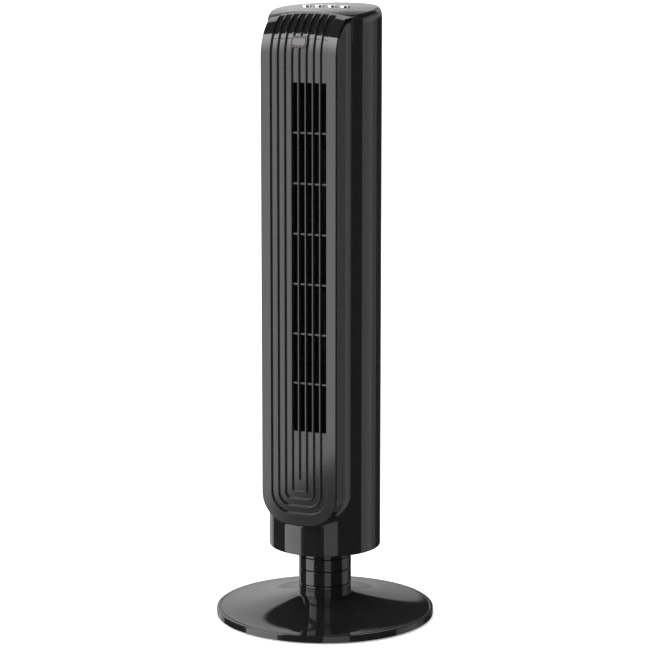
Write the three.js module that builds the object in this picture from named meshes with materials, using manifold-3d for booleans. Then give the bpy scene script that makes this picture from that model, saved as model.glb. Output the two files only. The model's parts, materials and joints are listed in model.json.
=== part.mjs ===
// Oscillating tower fan: a round pedestal, a ringed column and a slim tower with a cross-flow impeller.
// Millimetres, +Z up. The origin is the centre of the footprint and -Y is the front of the tower.
import * as THREE from 'three';
import { mergeVertices } from 'three/addons/utils/BufferGeometryUtils.js';
import Module from 'manifold-3d';

const wasm = await Module();
wasm.setup();

// ---- driving dimensions -------------------------------------------------------------------------
const GAP = 0.3; // clearance between pieces that touch
const base = {
  radius: 142.9, bottom: 1.8, rimTop: 10.7, neckTop: 28.6, neckRadius: 36, slopeRadius: 137.9,
  slopeSweep: 1.5, skin: 2.6,
};
const ballast = { inner: 50, outer: 128, bottom: 4.6, top: 8.2 };
const foot = { radius: 9, height: 3.4, circle: 122, count: 5 };
const column = { radius: 34.4, coreRadius: 28, bore: 13, top: 99, flange: 39, spigot: 18 };
const rings = [[28.9, 43.6], [44.6, 63.4], [64.4, 80.2]];
const collar = { radius: 34, bottom: 80.5, top: 95 };

const tower = { radius: 72.8, wall: 2.2, bottom: 95.1, shoulder: 13, inset: 6.5, seam: 5 };
const panel = {
  halfWidth: 52, face: -80, bottom: 138, corner: 38.5, skin: 2.6, depth: 7.2, draft: 6, gap: 0.7,
};
const brow = {
  centreY: -29, centreZ: 735, reach: 51, height: 59.3, crown: 6.8, creaseY: -44, creaseZ: 791.7,
};
const roof = { rise: 0.125, bow: 0.00055, crown: 0.00048, browCrown: 0.00145, browFade: 22 };
const flank = { mergeAngle: 58, flareHeight: 778, flareWidth: 12 };
const channel = {
  count: 8, pitch: 9.93, width: 8, depth: 3.2, bottom: 152.9, corner: 25.8, ribFoot: 196.5, fade: 1.021,
};
const outlet = { first: 4, bottom: 260.5, top: 704.6, rows: 7, bar: 2.2 };
const win = { width: 18.4, height: 9.6, z: 755, frame: 2.2 };
const cap = { depth: 2.8 };
const key = { count: 4, pitch: 17.7, halfWidth: 7.5, halfDepth: 4.6, y: 2, proud: 1.6, gap: 0.4 };

const rotor = {
  x: 6, y: 6, radius: 38, bottom: 250, sectionLength: 91.2, sections: 5, blades: 12, shaft: 4,
};
const motor = { radius: 33, bottom: 172, top: 222 };
const deck = { lower: 231, upper: 716, thickness: 3 };
const turntable = { bottom: 103.6, thickness: 3, hole: 21 };
const swing = { crankY: 40, throw: 20, pin: 2.5, slotHalf: 4.8, armBottom: 112, armThickness: 3 };
const handle = { halfWidth: 36, bottom: 738, top: 766, depth: 24 };
const inlet = { rows: 4, columns: 11, bottom: 250, top: 710, slot: 4.6, halfAngle: 62, bar: 6 };
const gland = { z: 150, bore: 3.4, neck: 8, flange: 10.4 };
const rearScrew = { angle: 108, heights: [170, 700], head: 3.4, shank: 1.6 };

// ---- materials ----------------------------------------------------------------------------------
const finish = (color, roughness, metalness) => () =>
  new THREE.MeshStandardMaterial({ color, roughness, metalness, side: THREE.FrontSide });
const glossBlack = finish(0x0b0b0c, 0.12, 0);
const satinBlack = finish(0x101012, 0.28, 0);
const matteBlack = finish(0x161617, 0.7, 0);
const windowSmoke = finish(0x1c1416, 0.1, 0);
const keyMetal = finish(0xd5d7da, 0.16, 1);
const steel = finish(0x8f9296, 0.4, 1);
const rubber = finish(0x18181a, 0.85, 0);
const board = finish(0x1f5a38, 0.5, 0);
const nylon = finish(0xd9d6cc, 0.5, 0);

// ---- small geometry helpers ---------------------------------------------------------------------
const rad = THREE.MathUtils.degToRad;
const zUp = new THREE.Matrix4().makeRotationX(Math.PI / 2);

function arc(cx, cy, radius, from, to, steps) {
  return Array.from({ length: steps + 1 }, (_, i) => {
    const a = rad(from + (to - from) * i / steps);
    return [cx + radius * Math.cos(a), cy + radius * Math.sin(a)];
  });
}

function shapeOf(points, holes = []) {
  const toVector = ([x, y]) => new THREE.Vector2(x, y);
  const shape = new THREE.Shape(points.map(toVector));
  holes.forEach((hole) => shape.holes.push(new THREE.Path(hole.map(toVector))));
  return shape;
}

const extrude = (points, depth, holes) =>
  new THREE.ExtrudeGeometry(shapeOf(points, holes), { depth, bevelEnabled: false });

// an outline in plan, raised from z0 to z1
const raised = (points, z0, z1, holes) => extrude(points, z1 - z0, holes).translate(0, 0, z0);
// an outline seen from the front (x, z), running from y0 to y1
const facing = (points, y0, y1) => extrude(points, y1 - y0).applyMatrix4(zUp).translate(0, y1, 0);

function turned(profile, segments, x = 0, y = 0) {
  const points = profile.map(([r, z]) => new THREE.Vector2(r, z));
  return new THREE.LatheGeometry(points, segments).applyMatrix4(zUp).translate(x, y, 0);
}

const disc = (radius, z0, z1, segments, x, y) =>
  turned([[0, z0], [radius, z0], [radius, z1], [0, z1]], segments, x, y);

const washer = (inner, outer, z0, z1, segments, x, y) =>
  turned([[inner, z0], [outer, z0], [outer, z1], [inner, z1], [inner, z0]], segments, x, y);

const block = (x0, x1, y0, y1, z0, z1) =>
  new THREE.BoxGeometry(x1 - x0, y1 - y0, z1 - z0)
    .translate((x0 + x1) / 2, (y0 + y1) / 2, (z0 + z1) / 2);

function roundedRect(cx, cy, halfWidth, halfHeight, radius, steps = 4) {
  const x = halfWidth - radius;
  const y = halfHeight - radius;
  const corners = [[x, y, 0], [-x, y, 90], [-x, -y, 180], [x, -y, 270]];
  return corners.flatMap(([dx, dy, a]) => arc(cx + dx, cy + dy, radius, a, a + 90, steps));
}

const ellipse = (cx, cy, a, b, steps = 20) => Array.from({ length: steps }, (_, i) => {
  const t = 2 * Math.PI * i / steps;
  return [cx + a * Math.cos(t), cy + b * Math.sin(t)];
});

// closed solid through a row of equal outlines, each a list of points in space
function lofted(outlines) {
  const count = outlines[0].length;
  const flat = outlines.flat(2);
  const index = [];
  for (let s = 0; s + 1 < outlines.length; s += 1) {
    for (let i = 0; i < count; i += 1) {
      const a = s * count + i;
      const b = s * count + (i + 1) % count;
      index.push(a, b, b + count, a, b + count, a + count);
    }
  }
  const capOf = (outline, start, reversed) => {
    const [u, v] = outline.every((p) => p[0] === outline[0][0]) ? [1, 2] : [0, 1];
    const flatPoints = outline.map((p) => new THREE.Vector2(p[u], p[v]));
    const clockwise = THREE.ShapeUtils.area(flatPoints) < 0;
    for (const [a, b, c] of THREE.ShapeUtils.triangulateShape(flatPoints, [])) {
      index.push(...(reversed === clockwise ? [a, b, c] : [a, c, b]).map((i) => i + start));
    }
  };
  capOf(outlines[0], 0, true);
  capOf(outlines.at(-1), (outlines.length - 1) * count, false);
  const geometry = new THREE.BufferGeometry();
  geometry.setAttribute('position', new THREE.Float32BufferAttribute(flat, 3));
  geometry.setIndex(index);
  return geometry;
}

function signedVolume(positions, triangles) {
  const [a, b, c] = [new THREE.Vector3(), new THREE.Vector3(), new THREE.Vector3()];
  let volume = 0;
  for (let i = 0; i < triangles.length; i += 3) {
    a.fromArray(positions, 3 * triangles[i]);
    b.fromArray(positions, 3 * triangles[i + 1]);
    c.fromArray(positions, 3 * triangles[i + 2]);
    volume += a.dot(b.cross(c));
  }
  return volume;
}

// a manifold solid from a closed geometry, turned right side out
function solid(geometry) {
  const bare = geometry.clone();
  bare.deleteAttribute('normal');
  bare.deleteAttribute('uv');
  const merged = mergeVertices(bare, 1e-4);
  const vertProperties = new Float32Array(merged.attributes.position.array);
  const triVerts = new Uint32Array(merged.index.array);
  if (signedVolume(vertProperties, triVerts) < 0) {
    for (let i = 0; i < triVerts.length; i += 3) {
      [triVerts[i], triVerts[i + 1]] = [triVerts[i + 1], triVerts[i]];
    }
  }
  return new wasm.Manifold(new wasm.Mesh({ numProp: 3, vertProperties, triVerts }));
}

const joined = (geometries) => geometries.map(solid).reduce((all, next) => all.add(next));
const without = (body, geometries) =>
  geometries.map(solid).reduce((rest, next) => rest.subtract(next), body);

function geometryOf(body) {
  const mesh = body.getMesh();
  const geometry = new THREE.BufferGeometry();
  geometry.setAttribute('position', new THREE.BufferAttribute(new Float32Array(mesh.vertProperties), 3));
  geometry.setIndex(new THREE.BufferAttribute(new Uint32Array(mesh.triVerts), 1));
  const faceted = geometry.toNonIndexed();
  faceted.computeVertexNormals();
  return faceted;
}

const fan = new THREE.Group();

function addPart(name, shape, material) {
  const body = shape.isBufferGeometry ? solid(shape) : shape;
  const mesh = new THREE.Mesh(geometryOf(body), material());
  mesh.name = name;
  fan.add(mesh);
}

// ---- the tower's outer form ---------------------------------------------------------------------
// crowned roof: its height above a point in plan
function roofHeight(x, y) {
  const back = Math.max(y - brow.creaseY, 0);
  const crown = roof.crown + roof.browCrown * Math.exp(-back / roof.browFade);
  return brow.creaseZ + roof.rise * back - roof.bow * back ** 2 - crown * x ** 2;
}

// how far the roof's edge stands in from the tower's side, at an angle from the front
function shoulderInset(degrees) {
  const t = THREE.MathUtils.smoothstep(Math.abs(degrees), 50, 66);
  return tower.inset * t;
}

// the round of the tower with its rolled shoulder and crowned roof, drawn in by a wall's thickness
function roundForm(drawnIn, bottom, segments = 56) {
  const shoulderSteps = 3;
  const roofRings = [0.66, 0.33];
  const spot = (angle, radius, z) => [radius * Math.sin(angle), -radius * Math.cos(angle), z];
  const outline = (radiusAt, heightAt) => Array.from({ length: segments }, (_, i) => {
    const angle = 2 * Math.PI * i / segments;
    const degrees = THREE.MathUtils.radToDeg(angle > Math.PI ? angle - 2 * Math.PI : angle);
    const edge = tower.radius - shoulderInset(degrees) - drawnIn;
    const [ex, ey] = spot(angle, edge, 0);
    const edgeZ = roofHeight(ex, ey) - drawnIn;
    const radius = radiusAt(edge);
    const [x, y] = spot(angle, radius, 0);
    return [x, y, heightAt(edgeZ, x, y)];
  });
  const full = tower.radius - drawnIn;
  const stations = [outline(() => full, () => bottom)];
  for (let i = 0; i <= shoulderSteps; i += 1) {
    const t = rad(90 * i / shoulderSteps);
    stations.push(outline(
      (edge) => edge + (full - edge) * Math.cos(t),
      (edgeZ) => edgeZ - tower.shoulder * (1 - Math.sin(t))));
  }
  for (const share of roofRings) {
    stations.push(outline((edge) => edge * share, (_, x, y) => roofHeight(x, y) - drawnIn));
  }
  return solid(lofted(stations));
}

// everything behind the front face, which rolls back over the top; depth draws it in
function behindFront(depth, floorRatio = 1) {
  const steps = 7;
  const halfSpan = 84;
  const reach = brow.reach - depth;
  const outlines = [-halfSpan, -55, -36, -18, 0, 18, 36, 55, halfSpan].map((x) => {
    const crown = brow.crown * Math.min((x / 55) ** 2, 1);
    const height = (brow.height - crown) * floorRatio - (floorRatio === 1 ? depth : 0);
    const creaseAngle = THREE.MathUtils.radToDeg(Math.acos((brow.centreY - brow.creaseY) / reach));
    const roll = Array.from({ length: steps + 1 }, (_, i) => {
      const a = rad(creaseAngle * i / steps);
      return [brow.centreY - reach * Math.cos(a), brow.centreZ + height * Math.sin(a)];
    });
    const profile = [[90, 60], [brow.centreY - reach, 60], ...roll, [brow.creaseY, 840], [90, 840]];
    return profile.map(([y, z]) => [x, y, z]);
  });
  return solid(lofted(outlines));
}

// the front box in plan: straight drafted flanks that sweep into the round
function boxPlan(drawnIn) {
  const draft = rad(panel.draft);
  const merge = rad(flank.mergeAngle);
  const along = [Math.sin(draft), Math.cos(draft)];
  const start = [panel.halfWidth, panel.face];
  const end = [tower.radius * Math.sin(merge), -tower.radius * Math.cos(merge)];
  const meanAngle = (draft + Math.PI / 2 - merge) / 2;
  const chord = [Math.sin(meanAngle), Math.cos(meanAngle)];
  const cross = (a, b) => a[0] * b[1] - a[1] * b[0];
  const run = cross([end[0] - start[0], end[1] - start[1]], chord) / cross(along, chord);
  const foot0 = [start[0] + run * along[0], start[1] + run * along[1]];
  const sweep = Math.hypot(end[0] - foot0[0], end[1] - foot0[1]);
  const radius = sweep / (2 * Math.sin((Math.PI / 2 - merge - draft) / 2));
  const centre = [foot0[0] + radius * Math.cos(draft), foot0[1] - radius * Math.sin(draft)];
  const degrees = THREE.MathUtils.radToDeg;
  const curve = arc(...centre, radius + drawnIn, 180 - panel.draft, 90 + degrees(merge), 5);
  const front = [panel.halfWidth - drawnIn, panel.face - 20];
  const right = [front, [front[0], panel.face], ...curve];
  return [...right, ...right.map(([x, y]) => [-x, y]).reverse()];
}

// the upright U that bounds the panel, seen from the front
function panelOutline(drawnIn, top = 830) {
  const halfWidth = panel.halfWidth - drawnIn;
  const radius = panel.corner - drawnIn;
  const z = panel.bottom + panel.corner;
  const x = panel.halfWidth - panel.corner;
  const wide = halfWidth + flank.flareWidth;
  const flare = drawnIn > 1 ? [] : [[halfWidth, flank.flareHeight], [wide, flank.flareHeight]];
  const right = [...arc(x, z, radius, -90, 0, 8), ...flare, [(flare.at(-1) ?? [halfWidth])[0], top]];
  return [...right, ...right.map(([px, pz]) => [-px, pz]).reverse()];
}

const plainU = (drawnIn) => {
  const x = panel.halfWidth - panel.corner;
  const halfWidth = panel.halfWidth - drawnIn;
  const corner = arc(x, panel.bottom + panel.corner, panel.corner - drawnIn, -90, 0, 8);
  const right = [...corner, [halfWidth, 830]];
  return [...right, ...right.map(([px, pz]) => [-px, pz]).reverse()];
};

function towerForm(drawnIn, bottom) {
  const box = solid(raised(boxPlan(drawnIn), bottom, 830))
    .intersect(solid(facing(plainU(drawnIn), -110, 0)));
  const low = solid(block(-90, 90, brow.creaseY, 90, 0, 840))
    .add(solid(block(-90, 90, -110, brow.creaseY + 1, 0, 800)));
  return roundForm(drawnIn, bottom).add(box.intersect(underRoof(drawnIn))).intersect(low);
}

// everything below the roof's surface, used to top the front box
function underRoof(drawnIn) {
  const outlines = [-84, -58, -40, -20, 0, 20, 40, 58, 84].map((x) => {
    const line = [-110, brow.creaseY, -20, 10, 40, 90].map((y) => [x, y, roofHeight(x, y) - drawnIn]);
    return [[x, 90, 60], [x, -110, 60], ...line];
  });
  return solid(lofted(outlines));
}

const front = {
  face: behindFront(0),
  skin: behindFront(panel.skin),
  seat: behindFront(panel.skin + panel.gap),
  deep: behindFront(panel.depth),
  deepSeat: behindFront(panel.depth + GAP),
  inner: behindFront(panel.depth + GAP + tower.wall),
};

const outerForm = towerForm(0, tower.bottom).intersect(front.face);
const innerForm = towerForm(tower.wall, tower.bottom - 5).intersect(front.inner);

// ---- pedestal -----------------------------------------------------------------------------------
function addBase() {
  const { radius, bottom, rimTop, neckTop, neckRadius, slopeRadius, slopeSweep, skin } = base;
  const slopeSteps = 5;
  const slope = Array.from({ length: slopeSteps + 1 }, (_, i) => {
    const t = i / slopeSteps;
    const rise = (neckTop - rimTop - 0.6) * t ** slopeSweep;
    return [slopeRadius - (slopeRadius - neckRadius) * t, rimTop + 0.6 + rise];
  });
  const under = slope.slice(1, -1).reverse().map(([r, z]) => [r, z - skin]);
  addPart('base_cover', turned([
    [column.coreRadius + GAP, neckTop], [column.coreRadius + GAP, neckTop - skin],
    ...under, [radius - skin, rimTop - skin], [radius - skin, bottom], [radius, bottom],
    [radius, rimTop - 1], [radius - 1, rimTop], [radius - 4, rimTop], ...slope,
    [column.coreRadius + GAP, neckTop]], 44), glossBlack);
  addPart('base_ballast', washer(ballast.inner, ballast.outer, ballast.bottom, ballast.top, 28), steel);
  addPart('base_underplate', without(solid(disc(radius - skin - GAP, bottom, 4.2, 44)),
    [disc(6, 0, 6, 16), ...footSpots().map(([x, y]) => disc(5.4, 0, 6, 12, x, y)),
      ...screwSpots(20, 4).map(([x, y]) => disc(2.1, 0, 6, 8, x, y))]), matteBlack);
}

const ringSpots = (circle, count, first) => Array.from({ length: count }, (_, i) => {
  const a = rad(first + 360 * i / count);
  return [circle * Math.cos(a), circle * Math.sin(a)];
});
const footSpots = () => ringSpots(foot.circle, foot.count, 90);
const screwSpots = (circle, count) => ringSpots(circle, count, 45);

function addFeet() {
  footSpots().forEach(([x, y], i) => addPart(`foot_${i + 1}`, turned([
    [0, 0], [foot.radius - 1, 0], [foot.radius, 0.6], [foot.radius, base.bottom - GAP],
    [5, base.bottom - GAP], [5, foot.height], [0, foot.height]], 12, x, y), rubber));
}

function addColumn() {
  const { coreRadius, bore, top, flange, spigot } = column;
  const core = without(solid(turned([
    [bore, 4.5], [coreRadius, 4.5], [coreRadius, top], [flange, top], [flange, top + 3],
    [spigot, top + 3], [spigot, swing.armBottom - GAP], [bore, swing.armBottom - GAP], [bore, 4.5]], 28)),
    screwSpots(20, 4).map(([x, y]) => disc(1.9, 0, 18, 6, x, y)));
  addPart('column_core', core, matteBlack);
  const names = ['column_ring_lower', 'column_ring_middle', 'column_ring_upper'];
  rings.forEach(([z0, z1], i) => addPart(names[i], turned([
    [coreRadius + GAP, z0], [column.radius - 0.4, z0], [column.radius, z0 + 0.4],
    [column.radius, z1 - 1], [column.radius - 1, z1], [coreRadius + GAP, z1],
    [coreRadius + GAP, z0]], 32), glossBlack));
  addPart('column_collar',
    washer(coreRadius + GAP, collar.radius, collar.bottom, collar.top, 32), glossBlack);
  addPart('thrust_washer',
    washer(spigot + 1, flange - 1, top + 3.2, turntable.bottom - 0.2, 28), nylon);
}

// ---- oscillation drive --------------------------------------------------------------------------
function addSwingDrive() {
  const { crankY, throw: reach, pin, slotHalf, armBottom, armThickness } = swing;
  const armTop = armBottom + armThickness;
  const armEnd = 64;
  const slotFrom = 37;
  const armPlan = [[-11, 0], ...arc(0, armEnd - 8.4, 11, 180, 0, 8), [11, 0]];
  const slotPlan = [...arc(0, slotFrom + slotHalf, slotHalf, 180, 360, 6),
    ...arc(0, armEnd - 4, slotHalf, 0, 180, 6)];
  const arm = solid(raised(armPlan, armBottom, armTop)).add(solid(disc(24, armBottom, armTop, 32)));
  addPart('swing_arm', without(arm, [raised(slotPlan, armBottom - 1, armTop + 1),
    disc(column.bore, armBottom - 1, armTop + 1, 24)]), steel);
  const discBottom = armTop + 2.5;
  addPart('swing_crank', joined([disc(24, discBottom, discBottom + 3.5, 32, 0, crankY),
    disc(5, discBottom + 3, 131, 20, 0, crankY),
    disc(pin, armBottom - 1.5, discBottom + 1, 16, 0, crankY + reach)]), nylon);
  addPart('swing_motor', without(solid(disc(23.5, 126.6, 146, 36, 0, crankY)),
    [disc(5.3, 120, 132, 20, 0, crankY)]), steel);
  const bracket = [block(-49, 49, 24, 45, 124, 126.3), block(-49, -46, 24, 38, 106.9, 125),
    block(46, 49, 24, 38, 106.9, 125)];
  addPart('swing_bracket', without(joined(bracket), [disc(5.6, 120, 130, 20, 0, crankY)]), steel);
}

function addTurntable() {
  const { bottom, thickness, hole } = turntable;
  const reach = tower.radius - tower.wall - GAP;
  const cover = washer(column.coreRadius + 7.5, reach, tower.bottom + 0.3, tower.bottom + 2.8, 40);
  addPart('bottom_cover', cover, matteBlack);
  addPart('turntable_plate', washer(hole, reach, bottom, bottom + thickness, 36), matteBlack);
}

// ---- tower shells -------------------------------------------------------------------------------
const halfSpace = (y0, y1) => solid(block(-200, 200, y0, y1, 0, 900));

function shellWalls() {
  const seat = outerForm.intersect(solid(facing(panelOutline(-panel.gap), -110, 0))).subtract(front.seat);
  const deepSeat = solid(facing(plainU(2.2), -110, 0)).subtract(front.deepSeat)
    .intersect(halfSpace(-110, -50));
  const capSeat = halfSpace(brow.creaseY, 200).subtract(underRoof(cap.depth + GAP));
  return outerForm.subtract(innerForm).subtract(seat).subtract(deepSeat).subtract(capSeat)
    .subtract(abovePanel());
}

// keeps the walls clear of the panel's upper edge, just in front of the crease
function abovePanel() {
  return halfSpace(-110, brow.creaseY + GAP / 2).subtract(front.seat)
    .intersect(solid(facing(panelOutline(-panel.gap), -110, 0)));
}

function addFrontHousing(walls) {
  const opening = block(-11, 41, -110, -60, outlet.bottom - 4.5, outlet.top + 4.4);
  const shell = walls.intersect(halfSpace(-200, tower.seam - GAP / 2));
  addPart('front_housing', without(shell, [opening]), glossBlack);
}

function handlePocket(grown) {
  const { halfWidth, bottom, top, depth } = handle;
  const mid = (bottom + top) / 2;
  const outline = roundedRect(0, mid, halfWidth + grown, (top - bottom) / 2 + grown, 9 + grown);
  return facing(outline, tower.radius - depth - grown, 90);
}

function inletSlots() {
  const { rows, columns, bottom, top, slot, halfAngle, bar } = inlet;
  const pitch = (top - bottom) / rows;
  const slots = [];
  for (let row = 0; row < rows; row += 1) {
    for (let i = 0; i < columns; i += 1) {
      const angle = halfAngle * (2 * i / (columns - 1) - 1);
      const z0 = bottom + row * pitch + bar / 2;
      slots.push(block(-slot / 2, slot / 2, tower.radius - 6, tower.radius + 4, z0, z0 + pitch - bar)
        .rotateZ(rad(angle)));
    }
  }
  return slots;
}

const rearScrewSpots = () => [-1, 1].flatMap((side) => rearScrew.heights.map((z) => {
  const a = rad(rearScrew.angle * side);
  return [Math.sin(a), -Math.cos(a), z];
}));

// a small turned piece laid along the outward direction at a point of the tower's side
function radial(profile, segments, [ux, uy, z]) {
  const aim = new THREE.Matrix4().makeBasis(
    new THREE.Vector3(-uy, ux, 0), new THREE.Vector3(0, 0, 1), new THREE.Vector3(ux, uy, 0));
  return turned(profile, segments).applyMatrix4(aim).translate(0, 0, z);
}

function addRearHousing(walls) {
  const r = tower.radius;
  const cuts = [handlePocket(2.4), ...inletSlots(),
    radial([[0, r - 8], [gland.neck + GAP, r - 8], [gland.neck + GAP, r + 4], [0, r + 4]], 16,
      [0, 1, gland.z]),
    ...rearScrewSpots().map((spot) => radial([[0, r - 8], [rearScrew.shank + GAP, r - 8],
      [rearScrew.shank + GAP, r - 1.3], [rearScrew.head + GAP, r - 1.3],
      [rearScrew.head + GAP, r + 4], [0, r + 4]], 14, spot))];
  const shell = walls.intersect(halfSpace(tower.seam + GAP / 2, 200));
  addPart('rear_housing', without(shell, cuts), glossBlack);
  rearScrewSpots().forEach((spot, i) => addPart(`rear_screw_${i + 1}`, radial([[0, r - 10],
    [rearScrew.shank, r - 10], [rearScrew.shank, r - 1], [rearScrew.head, r - 1],
    [rearScrew.head, r - 0.2], [0, r - 0.2]], 14, spot), steel));
}

function addHandleCup() {
  const cup = solid(handlePocket(2.1)).subtract(solid(handlePocket(0))).intersect(outerForm);
  addPart('handle_cup', cup, matteBlack);
}

function addCordGland() {
  const r = tower.radius;
  const { z, bore, neck, flange } = gland;
  addPart('cord_gland', radial([[bore, r - 7], [neck + 2, r - 7], [neck + 2, r - 4], [neck, r - 4],
    [neck, r], [flange, r], [flange, r + 2.2], [bore, r + 2.2], [bore, r - 7]], 20, [0, 1, z]), rubber);
}

// ---- front grille -------------------------------------------------------------------------------
// outer boundary of the nested U number n, counted inwards from the widest
function channelOutline(n, drawnIn) {
  const step = channel.pitch;
  const halfWidth = channel.count / 2 * step - (step - channel.width) / 2 - n * step - drawnIn;
  const radius = Math.max(channel.corner - n * step - drawnIn, 0.8);
  const bottom = channel.bottom + n * (step - 0.15) + drawnIn;
  const right = [...arc(halfWidth - radius, bottom + radius, radius, -90, 0, 5), [halfWidth, 830]];
  return [...right, ...right.map(([x, z]) => [-x, z]).reverse()];
}

function channelCutters() {
  const nested = channel.count / 2;
  const cut = (n) => {
    const whole = solid(facing(channelOutline(n, 0), -110, -30));
    const island = solid(facing(channelOutline(n, channel.width), -110, -30));
    return n + 1 < nested ? whole.subtract(island) : whole;
  };
  const rib = (channel.pitch - channel.width) / 2;
  const centreRib = [...arc(0, channel.ribFoot + rib, rib, 180, 360, 4), [rib, 830], [-rib, 830]];
  const all = Array.from({ length: nested }, (_, n) => cut(n)).reduce((sum, next) => sum.add(next));
  const boss = roundedRect(0, win.z, win.width / 2 + win.frame, win.height / 2 + win.frame, 3);
  return without(all, [facing(centreRib, -120, -20), facing(boss, -120, -20)]);
}

function outletSlots() {
  const rowPitch = (outlet.top - outlet.bottom + outlet.bar) / outlet.rows;
  const slots = [];
  for (let n = outlet.first; n <= channel.count; n += 1) {
    const left = (n - 1 - channel.count / 2) * channel.pitch + (channel.pitch - channel.width) / 2;
    for (let row = 0; row < outlet.rows; row += 1) {
      const z0 = outlet.bottom + row * rowPitch;
      slots.push(block(left, left + channel.width, -100, -60, z0, z0 + rowPitch - outlet.bar));
    }
  }
  return slots;
}

function addFrontGrille() {
  const inPanel = solid(facing(panelOutline(0), -110, 0))
    .intersect(halfSpace(-200, brow.creaseY - GAP / 2));
  const plate = outerForm.intersect(inPanel).subtract(front.skin);
  const core = front.face.subtract(front.deep).intersect(solid(facing(plainU(2.6), -110, -51)));
  const channels = channelCutters().subtract(behindFront(channel.depth, channel.fade));
  const opening = roundedRect(0, win.z, win.width / 2 + GAP, win.height / 2 + GAP, 2.2);
  const cuts = [...outletSlots(), facing(opening, -110, -40)];
  const grille = without(plate.add(core).subtract(channels), cuts);
  addPart('front_grille', grille, satinBlack);
}

function addWindow() {
  const lens = solid(facing(roundedRect(0, win.z, win.width / 2, win.height / 2, 2), -110, -40));
  addPart('ir_window', lens.intersect(behindFront(0.6)).subtract(behindFront(5)), windowSmoke);
  addPart('ir_receiver', block(-3.5, 3.5, -63, -59, 750, 758), matteBlack);
}

// ---- top cap and keys ---------------------------------------------------------------------------
const keySpots = () =>
  Array.from({ length: key.count }, (_, i) => (i - (key.count - 1) / 2) * key.pitch);

function addTopCap() {
  const region = halfSpace(brow.creaseY + GAP / 2, 200);
  const skin = outerForm.intersect(region).subtract(underRoof(cap.depth));
  addPart('top_cap', without(skin, keySpots().map((x) =>
    raised(ellipse(x, key.y, key.halfWidth + key.gap, key.halfDepth + key.gap), 770, 820))), glossBlack);
}

function addKeys() {
  keySpots().forEach((x, i) => {
    const level = roofHeight(x, key.y);
    const { y, halfWidth, halfDepth, proud } = key;
    const head = raised(ellipse(x, y, halfWidth, halfDepth), level - 4.6, level + proud);
    const lip = raised(ellipse(x, y, halfWidth + 1, halfDepth + 1), level - 6, level - 4.4);
    const stem = disc(2, 788, level - 5, 12, x, y);
    const dish = new THREE.SphereGeometry(30, 12, 8).translate(x, y, level + proud + 29.4);
    addPart(`key_${i + 1}`, without(joined([head, lip, stem]), [dish]), keyMetal);
    addPart(`key_switch_${i + 1}`, block(x - 3, x + 3, y - 3, y + 3, 782.9, 786.9), matteBlack);
  });
}

function addControlBoard() {
  addPart('control_board', block(-44, 44, -18, 26, 781, 782.6), board);
  [[-36, -8], [36, -8], [0, 21]].forEach(([x, y], i) =>
    addPart(`board_post_${i + 1}`, disc(3, deck.upper + deck.thickness + GAP, 780.7, 14, x, y), nylon));
}

// ---- air path and rotor -------------------------------------------------------------------------
const polar = (degrees, radius) =>
  [rotor.x + radius * Math.cos(rad(degrees)), rotor.y + radius * Math.sin(rad(degrees))];

// a thin upright wall along a line in plan
function wall(line, thickness, z0, z1) {
  const side = (sign) => line.map(([x, y], i) => {
    const [ax, ay] = line[Math.max(i - 1, 0)];
    const [bx, by] = line[Math.min(i + 1, line.length - 1)];
    const length = Math.hypot(bx - ax, by - ay);
    const half = sign * thickness / 2 / length;
    return [x - half * (by - ay), y + half * (bx - ax)];
  });
  return raised([...side(1), ...side(-1).reverse()], z0, z1);
}

function addAirPath() {
  const z0 = deck.lower + deck.thickness + GAP;
  const z1 = deck.upper - GAP;
  const scroll = [[42.5, -69.6], [45.5, -60], polar(-50, 68), polar(-30, 60.5), polar(-10, 56),
    polar(10, 52.5), polar(30, 50), polar(50, 48), polar(70, 46.2), polar(90, 44.6), polar(110, 43),
    polar(122, 42)];
  const tongue = [[-12.5, -69.6], [-13, -40], [-16.5, -32.5], [-24.5, -27.5]];
  addPart('air_scroll', wall(scroll, 1.8, z0, z1), matteBlack);
  addPart('air_tongue', wall(tongue, 2, z0, z1), matteBlack);
}

function deckPlate(z, holes) {
  const plan = innerForm.intersect(solid(block(-200, 200, -200, 200, z, z + deck.thickness)));
  const keep = solid(raised(boxPlan(tower.wall + 0.4), z - 1, z + 6))
    .add(solid(disc(tower.radius - tower.wall - 0.4, z - 1, z + 6, 72)));
  const clear = solid(block(-200, 200, -69.9, 200, z - 2, z + 8));
  return without(plan.intersect(keep).intersect(clear), holes);
}

function addDecks() {
  const bore = (z, r) => disc(r, z - 2, z + 8, 16, rotor.x, rotor.y);
  addPart('motor_deck', deckPlate(deck.lower, [bore(deck.lower, 9)]), matteBlack);
  addPart('bearing_deck', deckPlate(deck.upper, [bore(deck.upper, 10.3),
    block(-50, -42, 10, 26, deck.upper - 2, deck.upper + 8)]), matteBlack);
}

function addMotor() {
  const { x, y } = rotor;
  addPart('motor_can', without(solid(turned([[0, motor.bottom], [12, motor.bottom], [14, motor.bottom + 4],
    [motor.radius - 2, motor.bottom + 4], [motor.radius, motor.bottom + 6], [motor.radius, motor.top - 2],
    [motor.radius - 2, motor.top], [0, motor.top]], 28, x, y)),
    [disc(rotor.shaft + 0.2, 196, motor.top + 2, 14, x, y)]), steel);
  addPart('motor_mount', washer(9, motor.radius + 5, motor.top + GAP, deck.lower - GAP, 24, x, y), rubber);
  addPart('motor_capacitor', block(-46, -34, -12, 16, 190, deck.lower - GAP), matteBlack);
  const bushTop = deck.upper + deck.thickness + 2;
  addPart('top_bush', washer(rotor.shaft + 0.2, 10, deck.upper - 1.5, bushTop, 16, x, y), steel);
}

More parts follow.
